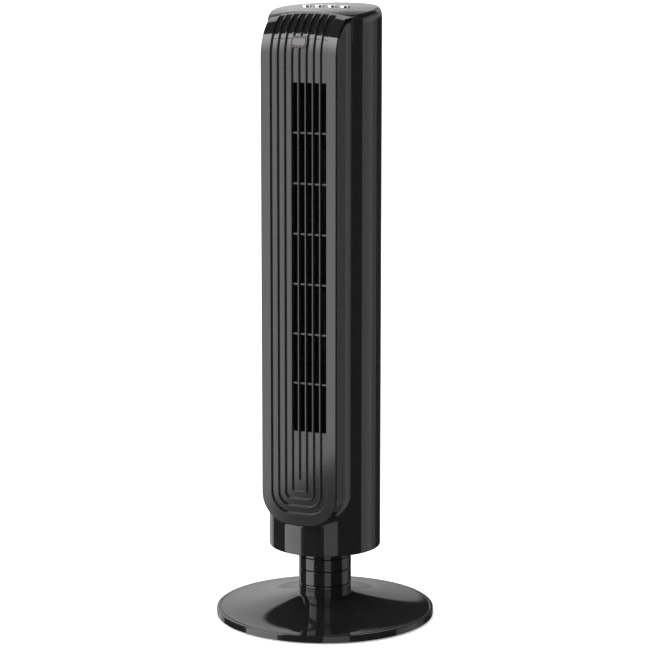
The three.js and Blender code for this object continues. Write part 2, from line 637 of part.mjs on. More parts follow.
function bladeGeometry(index, z0, z1) {
  const bow = arc(rotor.radius - 6, 4.6, 7.2, 205, 285, 2);
  const plan = [...bow, ...bow.map(([x, y]) => [x + 0.25, y + 1]).reverse()];
  return raised(plan, z0, z1).rotateZ(2 * Math.PI * index / rotor.blades).translate(rotor.x, rotor.y, 0);
}

function addRotor() {
  const { x, y, radius, bottom, sectionLength, sections, blades, shaft } = rotor;
  for (let s = 0; s < sections; s += 1) {
    const z0 = bottom + s * sectionLength;
    const z1 = z0 + sectionLength - GAP;
    const bore = s === 0 ? shaft + GAP : 22;
    const plate = washer(bore, radius, z0, z0 + 2, 24, x, y);
    const vanes = Array.from({ length: blades }, (_, i) => bladeGeometry(i, z0 + 1, z1));
    addPart(`impeller_section_${s + 1}`, joined([plate, ...vanes]), matteBlack);
  }
  const top = bottom + sections * sectionLength;
  addPart('impeller_end', joined([disc(radius, top, top + 2.4, 24, x, y),
    disc(shaft, top + 2, deck.upper + deck.thickness + 3, 14, x, y)]), matteBlack);
  addPart('rotor_shaft', disc(shaft, 198, bottom + 12, 14, x, y), steel);
  addPart('rotor_hub', washer(shaft + 0.2, 12, bottom - 9, bottom - GAP, 16, x, y), nylon);
}

// ---- assembly -----------------------------------------------------------------------------------
addBase();
addFeet();
addColumn();
addSwingDrive();
addTurntable();
const walls = shellWalls();
addFrontHousing(walls);
addRearHousing(walls);
addHandleCup();
addCordGland();
addFrontGrille();
addWindow();
addTopCap();
addKeys();
addControlBoard();
addAirPath();
addDecks();
addMotor();
addRotor();

export default fan;
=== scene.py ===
import json
import math

import bmesh
import bpy
import numpy as np
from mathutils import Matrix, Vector


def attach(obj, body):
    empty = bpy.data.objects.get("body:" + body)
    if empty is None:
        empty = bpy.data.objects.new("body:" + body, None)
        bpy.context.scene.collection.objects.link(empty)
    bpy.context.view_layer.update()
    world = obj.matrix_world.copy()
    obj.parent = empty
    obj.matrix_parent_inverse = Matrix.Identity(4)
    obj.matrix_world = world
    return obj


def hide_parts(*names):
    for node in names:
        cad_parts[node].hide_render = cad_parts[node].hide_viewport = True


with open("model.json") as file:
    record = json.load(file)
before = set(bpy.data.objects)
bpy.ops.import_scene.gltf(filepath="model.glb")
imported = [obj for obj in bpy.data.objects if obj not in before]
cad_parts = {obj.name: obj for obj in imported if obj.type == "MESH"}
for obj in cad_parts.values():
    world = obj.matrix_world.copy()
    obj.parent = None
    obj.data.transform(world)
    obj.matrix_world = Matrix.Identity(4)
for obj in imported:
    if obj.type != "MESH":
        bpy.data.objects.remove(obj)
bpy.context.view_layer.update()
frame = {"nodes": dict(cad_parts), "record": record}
nodes = frame["nodes"]
mm = 0.001


def say(text):
    print("tower fan:", text)


view = {"distance": 3.0635, "height": 0.9182, "azimuth": 24.99, "pitch": 9.855, "lens": 132.8}


def makeCamera():
    turn = math.radians(view["azimuth"])
    data = bpy.data.cameras.new("camera")
    data.lens, data.sensor_width = view["lens"], 36
    data.clip_end = 100
    camera = bpy.data.objects.new("camera", data)
    camera.location = (view["distance"] * math.sin(turn), -view["distance"] * math.cos(turn), view["height"])
    camera.rotation_euler = (math.radians(90 - view["pitch"]), 0, turn)
    bpy.context.collection.objects.link(camera)
    bpy.context.scene.camera = camera


makeCamera()
bpy.context.scene.view_settings.view_transform = "Standard"
say("camera placed")


class Value:
    # wraps a socket, so that shader maths reads as plain sums
    def __init__(self, shader, socket):
        self.shader, self.socket = shader, socket

    def math(self, operation, *others):
        return self.shader.math(operation, self, *others)

    def __add__(self, other):
        return self.math("ADD", other)

    def __radd__(self, other):
        return self.math("ADD", other)

    def __sub__(self, other):
        return self.math("SUBTRACT", other)

    def __rsub__(self, other):
        return self.shader.math("SUBTRACT", other, self)

    def __mul__(self, other):
        return self.math("MULTIPLY", other)

    def __rmul__(self, other):
        return self.math("MULTIPLY", other)

    def __truediv__(self, other):
        return self.math("DIVIDE", other)


class Shader:
    def __init__(self, tree):
        self.tree = tree

    def node(self, kind, settings=(), sockets=()):
        made = self.tree.nodes.new(kind)
        for key, value in dict(settings).items():
            if key == "ramp":
                self.setRamp(made.color_ramp, value)
            else:
                setattr(made, key, value)
        for key, value in dict(sockets).items():
            self.feed(made.inputs[key], value)
        return made

    def setRamp(self, ramp, stops):
        while len(ramp.elements) < len(stops):
            ramp.elements.new(1)
        for element, (position, colour) in zip(ramp.elements, stops):
            element.position, element.color = position, colour

    def feed(self, socket, value):
        if isinstance(value, Value):
            value = value.socket
        if isinstance(value, bpy.types.NodeSocket):
            self.tree.links.new(value, socket)
        else:
            socket.default_value = value

    def math(self, operation, *values):
        made = self.node("ShaderNodeMath", {"operation": operation})
        for socket, value in zip(made.inputs, values):
            self.feed(socket, value)
        return Value(self, made.outputs[0])

    def between(self, value, low, high, soft):
        # 1 inside low..high, falling to 0 over soft on either side
        rise = self.smooth(value, low - soft / 2, low + soft / 2)
        return rise * (1 - self.smooth(value, high - soft / 2, high + soft / 2))

    def smooth(self, value, low, high):
        made = self.node("ShaderNodeMapRange", {"interpolation_type": "SMOOTHSTEP"},
                         {"Value": value, "From Min": low, "From Max": high})
        return Value(self, made.outputs["Result"])

    def mix(self, factor, first, second):
        made = self.node("ShaderNodeMix", {"data_type": "RGBA"})
        for index, value in ((0, factor), (6, first), (7, second)):
            self.feed(made.inputs[index], value)
        return made.outputs[2]


# light by direction, in degrees: azimuth 0 is in front of the fan and grows towards +X
ambient = 0.025
strips = {
    "key": {"azimuth": (-67, -26.35), "elevation": (-40, 46), "light": 2.85, "gain": 1.6},
    "fill": {"azimuth": (23, 51), "elevation": (-50, 50), "light": 0.95, "gain": 1.6},
    "rim": {"azimuth": (106, 154), "elevation": (-50, 25), "light": 0.72, "dim": 0.6},
    "edge": {"azimuth": (-128, -110), "elevation": (-50, 25), "light": 0.7},
    "wing": {"azimuth": (-26.35, -21), "elevation": (-40, 46), "light": 2.85, "gain": 1.6, "slant": 0.6},
}
floorLook = {"half": 30, "albedo": 0.9, "rough": 0.9, "glow": 0.4, "sun": 2.2, "sunAngle": 60}
roofCard = {"azimuth": 205, "distance": 0.34, "half": 0.4, "low": 0.9, "high": 1.08, "glow": 0.9, "fall": 0.5,
            "fallLow": 0.92, "fallHigh": 1.02}


def stripLight(s, strip, azimuth, elevation):
    window = s.between(azimuth, *strip["azimuth"], 0.5) * s.between(elevation, *strip["elevation"], 1.5)
    if "slant" in strip:
        # the low end of this strip fades along a slanting edge
        slant = elevation + 13.2 - (azimuth + 24.8) * strip["slant"]
        window = window * (s.smooth(slant, -0.1, 0.3) * 0.9 + 0.1)
    if "dim" in strip:
        window = window * (1 - s.smooth(azimuth, 133, 143) * strip["dim"])
    if "gain" in strip:
        window = window * (s.smooth(elevation, 4, 44) * strip["gain"] + 1)
    return window * strip["light"]


def wallLight(s, around, elevation):
    # a low pale wall behind the fan, cut away to the right
    wall = s.between(around, 107, 253, 6) * s.between(elevation, 1, 27, 2)
    wall = wall + s.between(around, 184, 236, 8) * s.between(elevation, -30, 1, 2) * 0.6
    wall = wall * (1 - (1 - s.smooth(around, 201, 205)) * s.smooth(elevation, 13.5, 15.5))
    return wall * (s.smooth(around, 198, 207) * 0.5 + 0.5) * (0.7 + s.smooth(elevation, 2, 14) * 0.2)


def highCardLight(s, around, elevation):
    # a brighter card above the wall, with a slanting edge
    slant = around + (elevation - 46) * 0.65 - (1 - s.smooth(elevation, 37, 39)) * 16
    card = s.between(elevation, 25, 66, 3) * s.smooth(slant, 200, 203)
    return card * (1 - s.smooth(around, 250, 253)) * 2.2


def makeStudio():
    world = bpy.data.worlds.new("studio")
    bpy.context.scene.world = world
    world.use_nodes = True
    world.node_tree.nodes.clear()
    s = Shader(world.node_tree)
    direction = s.node("ShaderNodeTexCoord").outputs["Generated"]
    axes = s.node("ShaderNodeSeparateXYZ", {}, {0: direction})
    x, y, z = (Value(s, axes.outputs[i]) for i in range(3))
    azimuth = s.math("ARCTAN2", x, 0 - y) * math.degrees(1)
    elevation = s.math("ARCSINE", z) * math.degrees(1)
    light = 0 + ambient * s.between(azimuth, -200, 200, 1)
    for strip in strips.values():
        light = light + stripLight(s, strip, azimuth, elevation)
    # the same azimuth, counted from 0 to 360
    around = azimuth + (1 - s.math("SIGN", azimuth)) * 180
    light = light + wallLight(s, around, elevation) + highCardLight(s, around, elevation)
    background = s.node("ShaderNodeBackground", {}, {"Color": (1, 1, 1, 1), "Strength": light})
    output = s.node("ShaderNodeOutputWorld")
    s.tree.links.new(background.outputs[0], output.inputs["Surface"])


def addStage(name, corners, material):
    mesh = bpy.data.meshes.new(name)
    mesh.from_pydata([tuple(c) for c in corners], [], [(0, 1, 2, 3)])
    mesh.materials.append(material)
    plane = bpy.data.objects.new(name, mesh)
    bpy.context.collection.objects.link(plane)
    return plane


def makeFloor():
    f = floorLook
    material = bpy.data.materials.new("paleFloor")
    material.use_nodes = True
    sockets = material.node_tree.nodes["Principled BSDF"].inputs
    sockets["Base Color"].default_value = (f["albedo"], f["albedo"], f["albedo"], 1)
    sockets["Roughness"].default_value = f["rough"]
    sockets["Emission Color"].default_value = (1, 1, 1, 1)
    sockets["Emission Strength"].default_value = f["glow"]
    half = f["half"]
    corners = [(-half, -half, 0), (half, -half, 0), (half, half, 0), (-half, half, 0)]
    floor = addStage("floor", corners, material)
    floor.visible_glossy = False
    lamp = bpy.data.lights.new("overhead", "SUN")
    lamp.energy = f["sun"]
    lamp.angle = math.radians(f["sunAngle"])
    overhead = bpy.data.objects.new("overhead", lamp)
    overhead.visible_glossy = False
    bpy.context.collection.objects.link(overhead)


def makeRoofCard():
    # a pale card behind the fan, seen only in reflections, mostly the roof's
    c = roofCard
    a = math.radians(c["azimuth"])
    out, side = Vector((math.sin(a), -math.cos(a), 0)), Vector((math.cos(a), math.sin(a), 0))
    places = ((-c["half"], c["low"]), (c["half"], c["low"]), (c["half"], c["high"]), (-c["half"], c["high"]))
    corners = [out * c["distance"] + side * u + Vector((0, 0, z)) for u, z in places]
    material = bpy.data.materials.new("roofCard")
    material.use_nodes = True
    material.node_tree.nodes.clear()
    s = Shader(material.node_tree)
    place = s.node("ShaderNodeSeparateXYZ", {}, {0: s.node("ShaderNodeNewGeometry").outputs["Position"]})
    height = Value(s, place.outputs[2])
    strength = c["glow"] - s.smooth(height, c["fallLow"], c["fallHigh"]) * c["fall"]
    glow = s.node("ShaderNodeEmission", {}, {"Strength": strength})
    output = s.node("ShaderNodeOutputMaterial")
    s.tree.links.new(glow.outputs[0], output.inputs["Surface"])
    card = addStage("roofCard", corners, material)
    card.visible_camera = card.visible_diffuse = card.visible_shadow = False


makeStudio()
makeFloor()
makeRoofCard()
say("studio lit")


def addPiece(name, vertices, faces, material, body, slot, nodeNames=(), sharp=50, weighted=True):
    mesh = bpy.data.meshes.new(name)
    mesh.from_pydata([tuple(v) for v in vertices], [], faces)
    return finishPiece(name, mesh, material, body, nodeNames, sharp, weighted)


def finishPiece(name, mesh, material, body, nodeNames=(), sharp=50, weighted=True):
    work = bmesh.new()
    work.from_mesh(mesh)
    bmesh.ops.remove_doubles(work, verts=work.verts, dist=1e-7)
    bmesh.ops.recalc_face_normals(work, faces=work.faces)
    work.to_mesh(mesh)
    work.free()
    mesh.shade_smooth()
    mesh.set_sharp_from_angle(angle=math.radians(sharp))
    piece = bpy.data.objects.new(name, mesh)
    bpy.context.collection.objects.link(piece)
    mesh.materials.clear()
    mesh.materials.append(material)
    if weighted:
        modifier = piece.modifiers.new("weighted", "WEIGHTED_NORMAL")
        modifier.keep_sharp = True
    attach(piece, body)
    if nodeNames:
        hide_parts(*nodeNames)
    return piece


def gridFaces(rows, columns, closed=False, skip=None):
    faces = []
    last = columns if closed else columns - 1
    for r in range(rows - 1):
        for c in range(last):
            if skip and skip(r, c):
                continue
            d = (c + 1) % columns
            faces.append((r * columns + c, r * columns + d, (r + 1) * columns + d, (r + 1) * columns + c))
    return faces


def loopSides(count, loops, closed=False):
    # the faces between neighbouring loops of count points each
    faces = []
    for k in range(loops if closed else loops - 1):
        n = (k + 1) % loops
        faces += [(k * count + i, k * count + (i + 1) % count, n * count + (i + 1) % count, n * count + i)
                  for i in range(count)]
    return faces


def endCaps(count, loops):
    return [tuple(range(count)), tuple(range((loops - 1) * count, loops * count))]


def scaled(loops):
    # loops of points in mm as one list of points in metres
    return [tuple(c * mm for c in point) for loop in loops for point in loop]


def turned(profile, segments):
    # a closed ring of profile points (r, z) in mm turned about the upright axis
    count = len(profile)
    vertices = []
    for i in range(segments):
        a = 2 * math.pi * i / segments
        vertices += [(r * mm * math.cos(a), r * mm * math.sin(a), z * mm) for r, z in profile]
    faces = []
    for i in range(segments):
        j = (i + 1) % segments
        for k in range(count):
            n = (k + 1) % count
            faces.append((i * count + k, j * count + k, j * count + n, i * count + n))
    return vertices, faces


def rounded(points, radius, steps=4):
    # points (r, z) with each corner rounded; radius is one number or one for each point
    result = []
    count = len(points)
    for i, point in enumerate(points):
        size = radius[i] if isinstance(radius, (list, tuple)) else radius
        here = Vector(point)
        if size <= 0:
            result.append(tuple(here))
            continue
        before, after = Vector(points[i - 1]), Vector(points[(i + 1) % count])
        toBefore, toAfter = (before - here).normalized(), (after - here).normalized()
        size = min(size, (before - here).length * 0.45, (after - here).length * 0.45)
        start, end = here + toBefore * size, here + toAfter * size
        for k in range(steps + 1):
            t = k / steps
            result.append(tuple(start * (1 - t) ** 2 + here * 2 * t * (1 - t) + end * t ** 2))
    return result


def newMaterial(name):
    material = bpy.data.materials.new(name)
    material.use_nodes = True
    s = Shader(material.node_tree)
    return material, s, material.node_tree.nodes["Principled BSDF"]


def objectNoise(s, scale, detail=2.0, rough=0.5):
    coordinates = s.node("ShaderNodeTexCoord").outputs["Object"]
    made = s.node("ShaderNodeTexNoise", {}, {"Vector": coordinates, "Scale": scale, "Detail": detail,
                                             "Roughness": rough})
    return Value(s, made.outputs["Fac"])


def mouldedPlastic(name, look):
    # black plastic: faint polish swirls in the gloss, a very shallow ripple, and rare dust
    material, s, shader = newMaterial(name)
    cloud = objectNoise(s, look["cloud"], 3)
    grain = objectNoise(s, look["grain"], 2, 0.6)
    dust = s.smooth(objectNoise(s, 900, 1), 0.735, 0.76) * s.smooth(cloud, 0.45, 0.6)
    dark, pale = look["colour"], look["dust"]
    s.feed(shader.inputs["Base Color"], s.mix(dust * look["dustAmount"], dark, pale))
    s.feed(shader.inputs["Roughness"], look["rough"] + (cloud - 0.5) * look["swing"] + dust * 0.2)
    ripple = s.node("ShaderNodeBump", {}, {"Strength": look["bump"], "Distance": look["bumpDepth"],
                                           "Height": grain})
    s.feed(shader.inputs["Normal"], ripple.outputs["Normal"])
    shader.inputs["IOR"].default_value = look["ior"]
    return material


glossLook = {"colour": (0.0095, 0.0095, 0.0098, 1), "dust": (0.08, 0.08, 0.078, 1), "dustAmount": 0.35,
             "rough": 0.055, "swing": 0.03, "cloud": 22, "grain": 260, "bump": 0.06, "bumpDepth": 0.00002,
             "ior": 1.5}
grilleLook = {"colour": (0.011, 0.011, 0.0113, 1), "dust": (0.08, 0.08, 0.078, 1), "dustAmount": 0.35,
              "rough": 0.05, "swing": 0.02, "cloud": 18, "grain": 1400, "bump": 0.05, "bumpDepth": 0.00002,
              "ior": 1.5}
innerLook = {"colour": (0.014, 0.014, 0.0145, 1), "dust": (0.1, 0.098, 0.09, 1), "dustAmount": 0.6,
             "rough": 0.55, "swing": 0.12, "cloud": 40, "grain": 2200, "bump": 0.3, "bumpDepth": 0.00005,
             "ior": 1.46}
rubberLook = {"colour": (0.018, 0.018, 0.018, 1), "dust": (0.12, 0.115, 0.105, 1), "dustAmount": 0.8,
              "rough": 0.78, "swing": 0.1, "cloud": 60, "grain": 3000, "bump": 0.4, "bumpDepth": 0.00008,
              "ior": 1.45}
nylonLook = {"colour": (0.72, 0.7, 0.64, 1), "dust": (0.5, 0.47, 0.4, 1), "dustAmount": 0.4,
             "rough": 0.45, "swing": 0.1, "cloud": 60, "grain": 1600, "bump": 0.2, "bumpDepth": 0.00004,
             "ior": 1.5}


def metal(name, look):
    material, s, shader = newMaterial(name)
    cloud = objectNoise(s, look["cloud"], 3)
    coordinates = s.node("ShaderNodeTexCoord").outputs["Object"]
    stretched = s.node("ShaderNodeMapping", {}, {"Vector": coordinates, "Scale": look["stretch"]})
    lines = s.node("ShaderNodeTexNoise", {}, {"Vector": stretched.outputs["Vector"], "Scale": 900,
                                             "Detail": 2})
    brushed = Value(s, lines.outputs["Fac"])
    s.feed(shader.inputs["Base Color"], s.mix(cloud, look["dark"], look["light"]))
    s.feed(shader.inputs["Roughness"], look["rough"] + (brushed - 0.5) * look["swing"])
    shader.inputs["Metallic"].default_value = 1
    bump = s.node("ShaderNodeBump", {}, {"Strength": look["bump"], "Distance": 0.00002, "Height": brushed})
    s.feed(shader.inputs["Normal"], bump.outputs["Normal"])
    return material


chromeLook = {"dark": (0.78, 0.79, 0.81, 1), "light": (0.9, 0.9, 0.92, 1), "rough": 0.1, "swing": 0.05,
              "cloud": 120, "stretch": (1, 1, 1), "bump": 0.03}
zincLook = {"dark": (0.42, 0.43, 0.45, 1), "light": (0.6, 0.61, 0.62, 1), "rough": 0.38, "swing": 0.2,
            "cloud": 70, "stretch": (1, 1, 0.05), "bump": 0.15}


def smokedWindow():
    material, s, shader = newMaterial("windowSmoke")
    cloud = objectNoise(s, 90, 2)
    s.feed(shader.inputs["Base Color"], s.mix(cloud, (0.028, 0.018, 0.02, 1), (0.04, 0.026, 0.028, 1)))
    s.feed(shader.inputs["Roughness"], 0.05 + cloud * 0.04)
    return material


def circuitBoard():
    material, s, shader = newMaterial("circuitBoard")
    coordinates = s.node("ShaderNodeTexCoord").outputs["Object"]
    bricks = s.node("ShaderNodeTexBrick", {}, {"Vector": coordinates, "Scale": 120, "Mortar Size": 0.03})
    tracks = Value(s, bricks.outputs["Fac"])
    s.feed(shader.inputs["Base Color"], s.mix(tracks, (0.01, 0.09, 0.035, 1), (0.03, 0.2, 0.08, 1)))
    s.feed(shader.inputs["Roughness"], 0.3 + tracks * 0.2)
    return material


glossBlack = mouldedPlastic("glossBlack", glossLook)
grilleBlack = mouldedPlastic("grilleBlack", grilleLook)
innerBlack = mouldedPlastic("innerBlack", innerLook)
softRubber = mouldedPlastic("softRubber", rubberLook)
nylon = mouldedPlastic("nylon", nylonLook)
chrome = metal("keyChrome", chromeLook)
zinc = metal("zincSteel", zincLook)
smoke = smokedWindow()
green = circuitBoard()
say("materials made")

tower = {"radius": 72.8, "bottom": 95.1, "wall": 2.2, "shoulder": 13, "inset": 6.5, "seam": 93.94,
         "roll": (-29, 735, 51), "height": 59.3, "crown": 6.8, "creaseY": -44, "creaseZ": 791.7}


def roofHeight(x, y):
    back = np.maximum(y - tower["creaseY"], 0)
    crown = 0.00048 + 0.00145 * np.exp(-back / 22)
    return tower["creaseZ"] + 0.125 * back - 0.00055 * back ** 2 - crown * x ** 2


def shoulderInset(degrees):
    t = np.clip((abs(degrees) - 50) / 16, 0, 1)
    return tower["inset"] * t * t * (3 - 2 * t)


def rollHeight(x):
    return tower["height"] - tower["crown"] * np.minimum((x / 55) ** 2, 1)


def shoulderPoint(degrees, sweep):
    # on the rolled shoulder: sweep 0 is the side, 90 the roof's edge
    a, t = math.radians(degrees), math.radians(sweep)
    inset = float(shoulderInset(degrees))
    edge = tower["radius"] - inset
    edgeZ = float(roofHeight(edge * math.sin(a), -edge * math.cos(a)))
    r = edge + inset * math.cos(t)
    return r * math.sin(a), -r * math.cos(a), edgeZ - tower["shoulder"] * (1 - math.sin(t))


pedestal = {"radius": 142.9, "bottom": 1.8, "rimTop": 10.7, "neckTop": 28.9, "cone": 36, "skin": 2.6,
            "sweep": 1.5}


def makePedestal():
    p = pedestal
    r0, r1, low = p["radius"] - 5.2, p["cone"], p["rimTop"] + 0.35
    slope = []
    for i in range(25):
        t = i / 24
        slope.append((r0 - (r0 - r1) * t, low + (p["neckTop"] - low) * t ** p["sweep"]))
    rim = rounded([(p["radius"] - p["skin"], p["bottom"]), (p["radius"], p["bottom"]),
                   (p["radius"], p["rimTop"]), (p["radius"] - 4.2, p["rimTop"])], [0.3, 0.6, 1.7, 0.3], 6)
    groove = [(p["radius"] - 4.4, p["rimTop"] - 0.5), (p["radius"] - 5.0, p["rimTop"] - 0.5)]
    under = [(r, z - p["skin"]) for r, z in slope[2:-1]][::-1]
    inner = [(28.4, p["neckTop"]), (28.4, p["neckTop"] - p["skin"])]
    profile = rim + groove + slope + inner + under + [(p["radius"] - p["skin"], p["rimTop"] - p["skin"])]
    vertices, faces = turned(profile, 192)
    addPiece("pedestalCover", vertices, faces, glossBlack, "base", "gloss_shell", ["base_cover"], 40)


def makeColumn():
    sleeves = {"column_ring_lower": (28.9, 43.6), "column_ring_middle": (44.6, 63.4),
               "column_ring_upper": (64.4, 80.2)}
    for node, (z0, z1) in sleeves.items():
        profile = rounded([(28.4, z0), (34.4, z0), (34.4, z1), (28.4, z1)], [0, 0.35, 1.8, 0], 7)
        vertices, faces = turned(profile, 128)
        addPiece(node.replace("column_", "") + "_sleeve", vertices, faces, glossBlack, "base", "gloss_shell",
                 [node], 40)
    profile = rounded([(28.4, 80.6), (34.0, 80.6), (34.0, 95.0), (28.4, 95.0)], [0, 0.5, 0.5, 0], 4)
    vertices, faces = turned(profile, 128)
    addPiece("collar_sleeve", vertices, faces, glossBlack, "base", "gloss_shell", ["column_collar"], 40)


makePedestal()
makeColumn()
say("pedestal and column made")

housing = {"frontPlane": 76.6, "deepPlane": 72.5, "deepInset": 2.2, "panelHalf": 52.0, "panelBottom": 138.0,
           "corner": 38.5, "draft": 6, "blend": 6, "opening": (-11, 41, 256, 709), "topSink": 2.8}
lipRadius = 1.6
lipSteps = (0, 0.25, 0.6, 1.0, 1.6, 3)


def housingField(x, y, z):
    # negative inside the outer form of the lower tower
    h = housing
    roundPart = np.hypot(x, y) - tower["radius"]
    qx = np.abs(x) - (y + 80) * math.tan(math.radians(h["draft"])) - (h["panelHalf"] - h["corner"])
    qz = h["panelBottom"] + h["corner"] - z
    box = np.hypot(np.maximum(qx, 0), np.maximum(qz, 0)) + np.minimum(np.maximum(qx, qz), 0) - h["corner"]
    k = h["blend"]
    near = np.maximum(k - np.abs(roundPart - box), 0) / k
    both = np.minimum(roundPart, box) - near ** 2 * k / 4
    inner = h["corner"] - h["deepInset"]
    qx, qz = np.abs(x) - (h["panelHalf"] - h["corner"]), h["panelBottom"] + h["corner"] - z
    pocket = np.hypot(np.maximum(qx, 0), np.maximum(qz, 0)) + np.minimum(np.maximum(qx, qz), 0) < inner
    return np.maximum(both, -y - np.where(pocket, h["deepPlane"], h["frontPlane"]))


def housingRadius(degrees, z):
    low, high = np.full(np.shape(z + degrees), 69.0), np.full(np.shape(z + degrees), 112.0)
    a = np.radians(degrees)
    for _ in range(36):
        middle = (low + high) / 2
        outside = housingField(middle * np.sin(a), -middle * np.cos(a), z) > 0
        high = np.where(outside, middle, high)
        low = np.where(outside, low, middle)
    return np.where(np.abs(degrees) > 62, tower["radius"], (low + high) / 2)


def columnTop(degrees):
    # the upper stretch of the wall at an angle from the front: points (x, y, z) from z 735 upwards
    a = math.radians(degrees)
    r = float(housingRadius(np.array(degrees), np.array(700.0)))
    x, y = r * math.sin(a), -r * math.cos(a)
    centreY, centreZ, reach = tower["roll"]
    depth = housing["topSink"]
    points = []
    if y < tower["creaseY"]:
        share = min(abs(y - centreY) / (reach - depth), 1)
        top = centreZ + (float(rollHeight(x)) - depth) * math.sqrt(1 - share ** 2)
        top = max(top, centreZ + 1)
        for k in range(1, 17):
            points.append((x, y, 730 + (top - 730) * k / 16))
    else:
        startZ = shoulderPoint(degrees, 0)[2]
        for k in range(1, 7):
            points.append((x, y, 730 + (startZ - 730) * k / 6))
        for k in range(1, 11):
            points.append(shoulderPoint(degrees, 70 * k / 10))
    return points


def shellGrid(angles, levels):
    columns = []
    for degrees in angles:
        a = math.radians(degrees)
        r = housingRadius(np.full(len(levels), degrees), np.array(levels))
        lip = np.clip((levels[0] + lipRadius - np.array(levels)) / lipRadius, 0, 1)
        r = r - lipRadius * (1 - np.sqrt(np.maximum(1 - lip ** 2, 0)))
        column = [(ri * math.sin(a), -ri * math.cos(a), z) for ri, z in zip(r, levels)]
        columns.append(column + columnTop(degrees))
    return columns


def addShell(name, columns, skip):
    vertices = scaled(columns)
    faces = gridFaces(len(columns), len(columns[0]), False, skip)
    mesh = bpy.data.meshes.new(name)
    mesh.from_pydata(vertices, [], faces)
    mesh.update()
    return finishShell(name, mesh)


def finishShell(name, mesh):
    work = bmesh.new()
    work.from_mesh(mesh)
    loose = [v for v in work.verts if not v.link_faces]
    bmesh.ops.delete(work, geom=loose, context="VERTS")
    work.normal_update()
    first = work.faces[:][0]
    centre = first.calc_center_median()
    if first.normal.dot(Vector((centre.x, centre.y, 0))) < 0:
        bmesh.ops.reverse_faces(work, faces=work.faces)
    work.to_mesh(mesh)
    work.free()
    mesh.shade_smooth()
    mesh.set_sharp_from_angle(angle=math.radians(38))
    piece = bpy.data.objects.new(name, mesh)
    bpy.context.collection.objects.link(piece)
    mesh.materials.append(glossBlack)
    thick = piece.modifiers.new("wall", "SOLIDIFY")
    thick.thickness, thick.offset = tower["wall"] * mm, -1
    thick.use_rim = True
    return piece


def makeFrontShell():
    fine = list(np.arange(28, 62, 0.5))
    side = list(np.linspace(62, tower["seam"] - 0.12, 22))
    right = fine + side
    angles = [-a for a in right[::-1]] + list(np.linspace(-27, 27, 37)) + right
    bottom = [tower["bottom"] + d for d in lipSteps + (8, 16, 24, 30)]
    levels = bottom + list(np.arange(128, 182, 0.8)) + [182, 256, 370, 480, 590, 709, 730]
    columns = shellGrid(angles, levels)
    x0, x1, z0, z1 = housing["opening"]

    def skip(r, c):
        x, y, z = columns[r][c]
        nx = columns[r + 1][c][0]
        high = columns[r][c + 1][2]
        inside = z >= z0 - 0.1 and high <= z1 + 0.1 and min(x, nx) > x0 and max(x, nx) < x1
        return inside and y < -60

    piece = addShell("frontShell", columns, skip)
    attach(piece, "tower")
    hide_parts("front_housing")


inlet = {"rows": 4, "bottom": 252, "top": 708, "halfAngle": 64, "slats": 25, "slatWidth": 2.7, "bar": 5}
rearScrew = {"angle": 108, "heights": (170, 700), "head": 3.4}
handle = {"halfWidth": 36, "bottom": 738, "top": 766, "depth": 24, "corner": 9}


def makeRearShell():
    half = inlet["halfAngle"]
    start = tower["seam"] + 0.12
    spans = ((start, 180 - half, 8), (180 - half, 180 + half, 65), (180 + half, 360 - start, 8))
    angles = sorted({a for low, high, steps in spans for a in np.linspace(low, high, steps)})
    pitch = (inlet["top"] - inlet["bottom"]) / inlet["rows"]
    levels = [tower["bottom"] + d for d in lipSteps] + [130, 180]
    for row in range(inlet["rows"]):
        z = inlet["bottom"] + row * pitch
        levels += [z + inlet["bar"] / 2, z + pitch - inlet["bar"] / 2]
    levels += [730]
    columns = [wrapColumn(a, levels) for a in angles]
    openRows = {levels.index(inlet["bottom"] + row * pitch + inlet["bar"] / 2)
                for row in range(inlet["rows"])}

    def skip(r, c):
        return c in openRows and 180 - half - 0.01 <= angles[r] and angles[r + 1] <= 180 + half + 0.01

    piece = addShell("rearShell", columns, skip)
    cutters = [facingPrism(handleOutline(2.2), 30, 100), radialCutter(8.3, 60, 90, 180, 150)]
    cutters += [radialCutter(rearScrew["head"] + 0.35, tower["radius"] - 1.3, 90, side * rearScrew["angle"], z)
                for side in (-1, 1) for z in rearScrew["heights"]]
    bakeCut(piece, cutters)
    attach(piece, "tower")
    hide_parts("rear_housing")


def wrapColumn(degrees, levels):
    signed = degrees if degrees <= 180 else degrees - 360
    return shellGrid([signed], levels)[0]


def handleOutline(grow, steps=6):
    h = handle
    x = h["halfWidth"] + grow - h["corner"]
    z = (h["top"] - h["bottom"]) / 2 + grow - h["corner"]
    middle = (h["top"] + h["bottom"]) / 2
    points = []
    for cx, cz, first in ((x, z, 0), (-x, z, 90), (-x, -z, 180), (x, -z, 270)):
        for k in range(steps + 1):
            a = math.radians(first + 90 * k / steps)
            points.append((cx + h["corner"] * math.cos(a), middle + cz + h["corner"] * math.sin(a)))
    return points


def facingPrism(outline, y0, y1):
    # closed prism along Y over an outline in x and z
    count = len(outline)
    vertices = [(x, y, z) for y in (y0, y1) for x, z in outline]
    faces = [tuple(range(count)), tuple(range(2 * count - 1, count - 1, -1))]
    faces += [(i, count + i, count + (i + 1) % count, (i + 1) % count) for i in range(count)]
    return vertices, faces


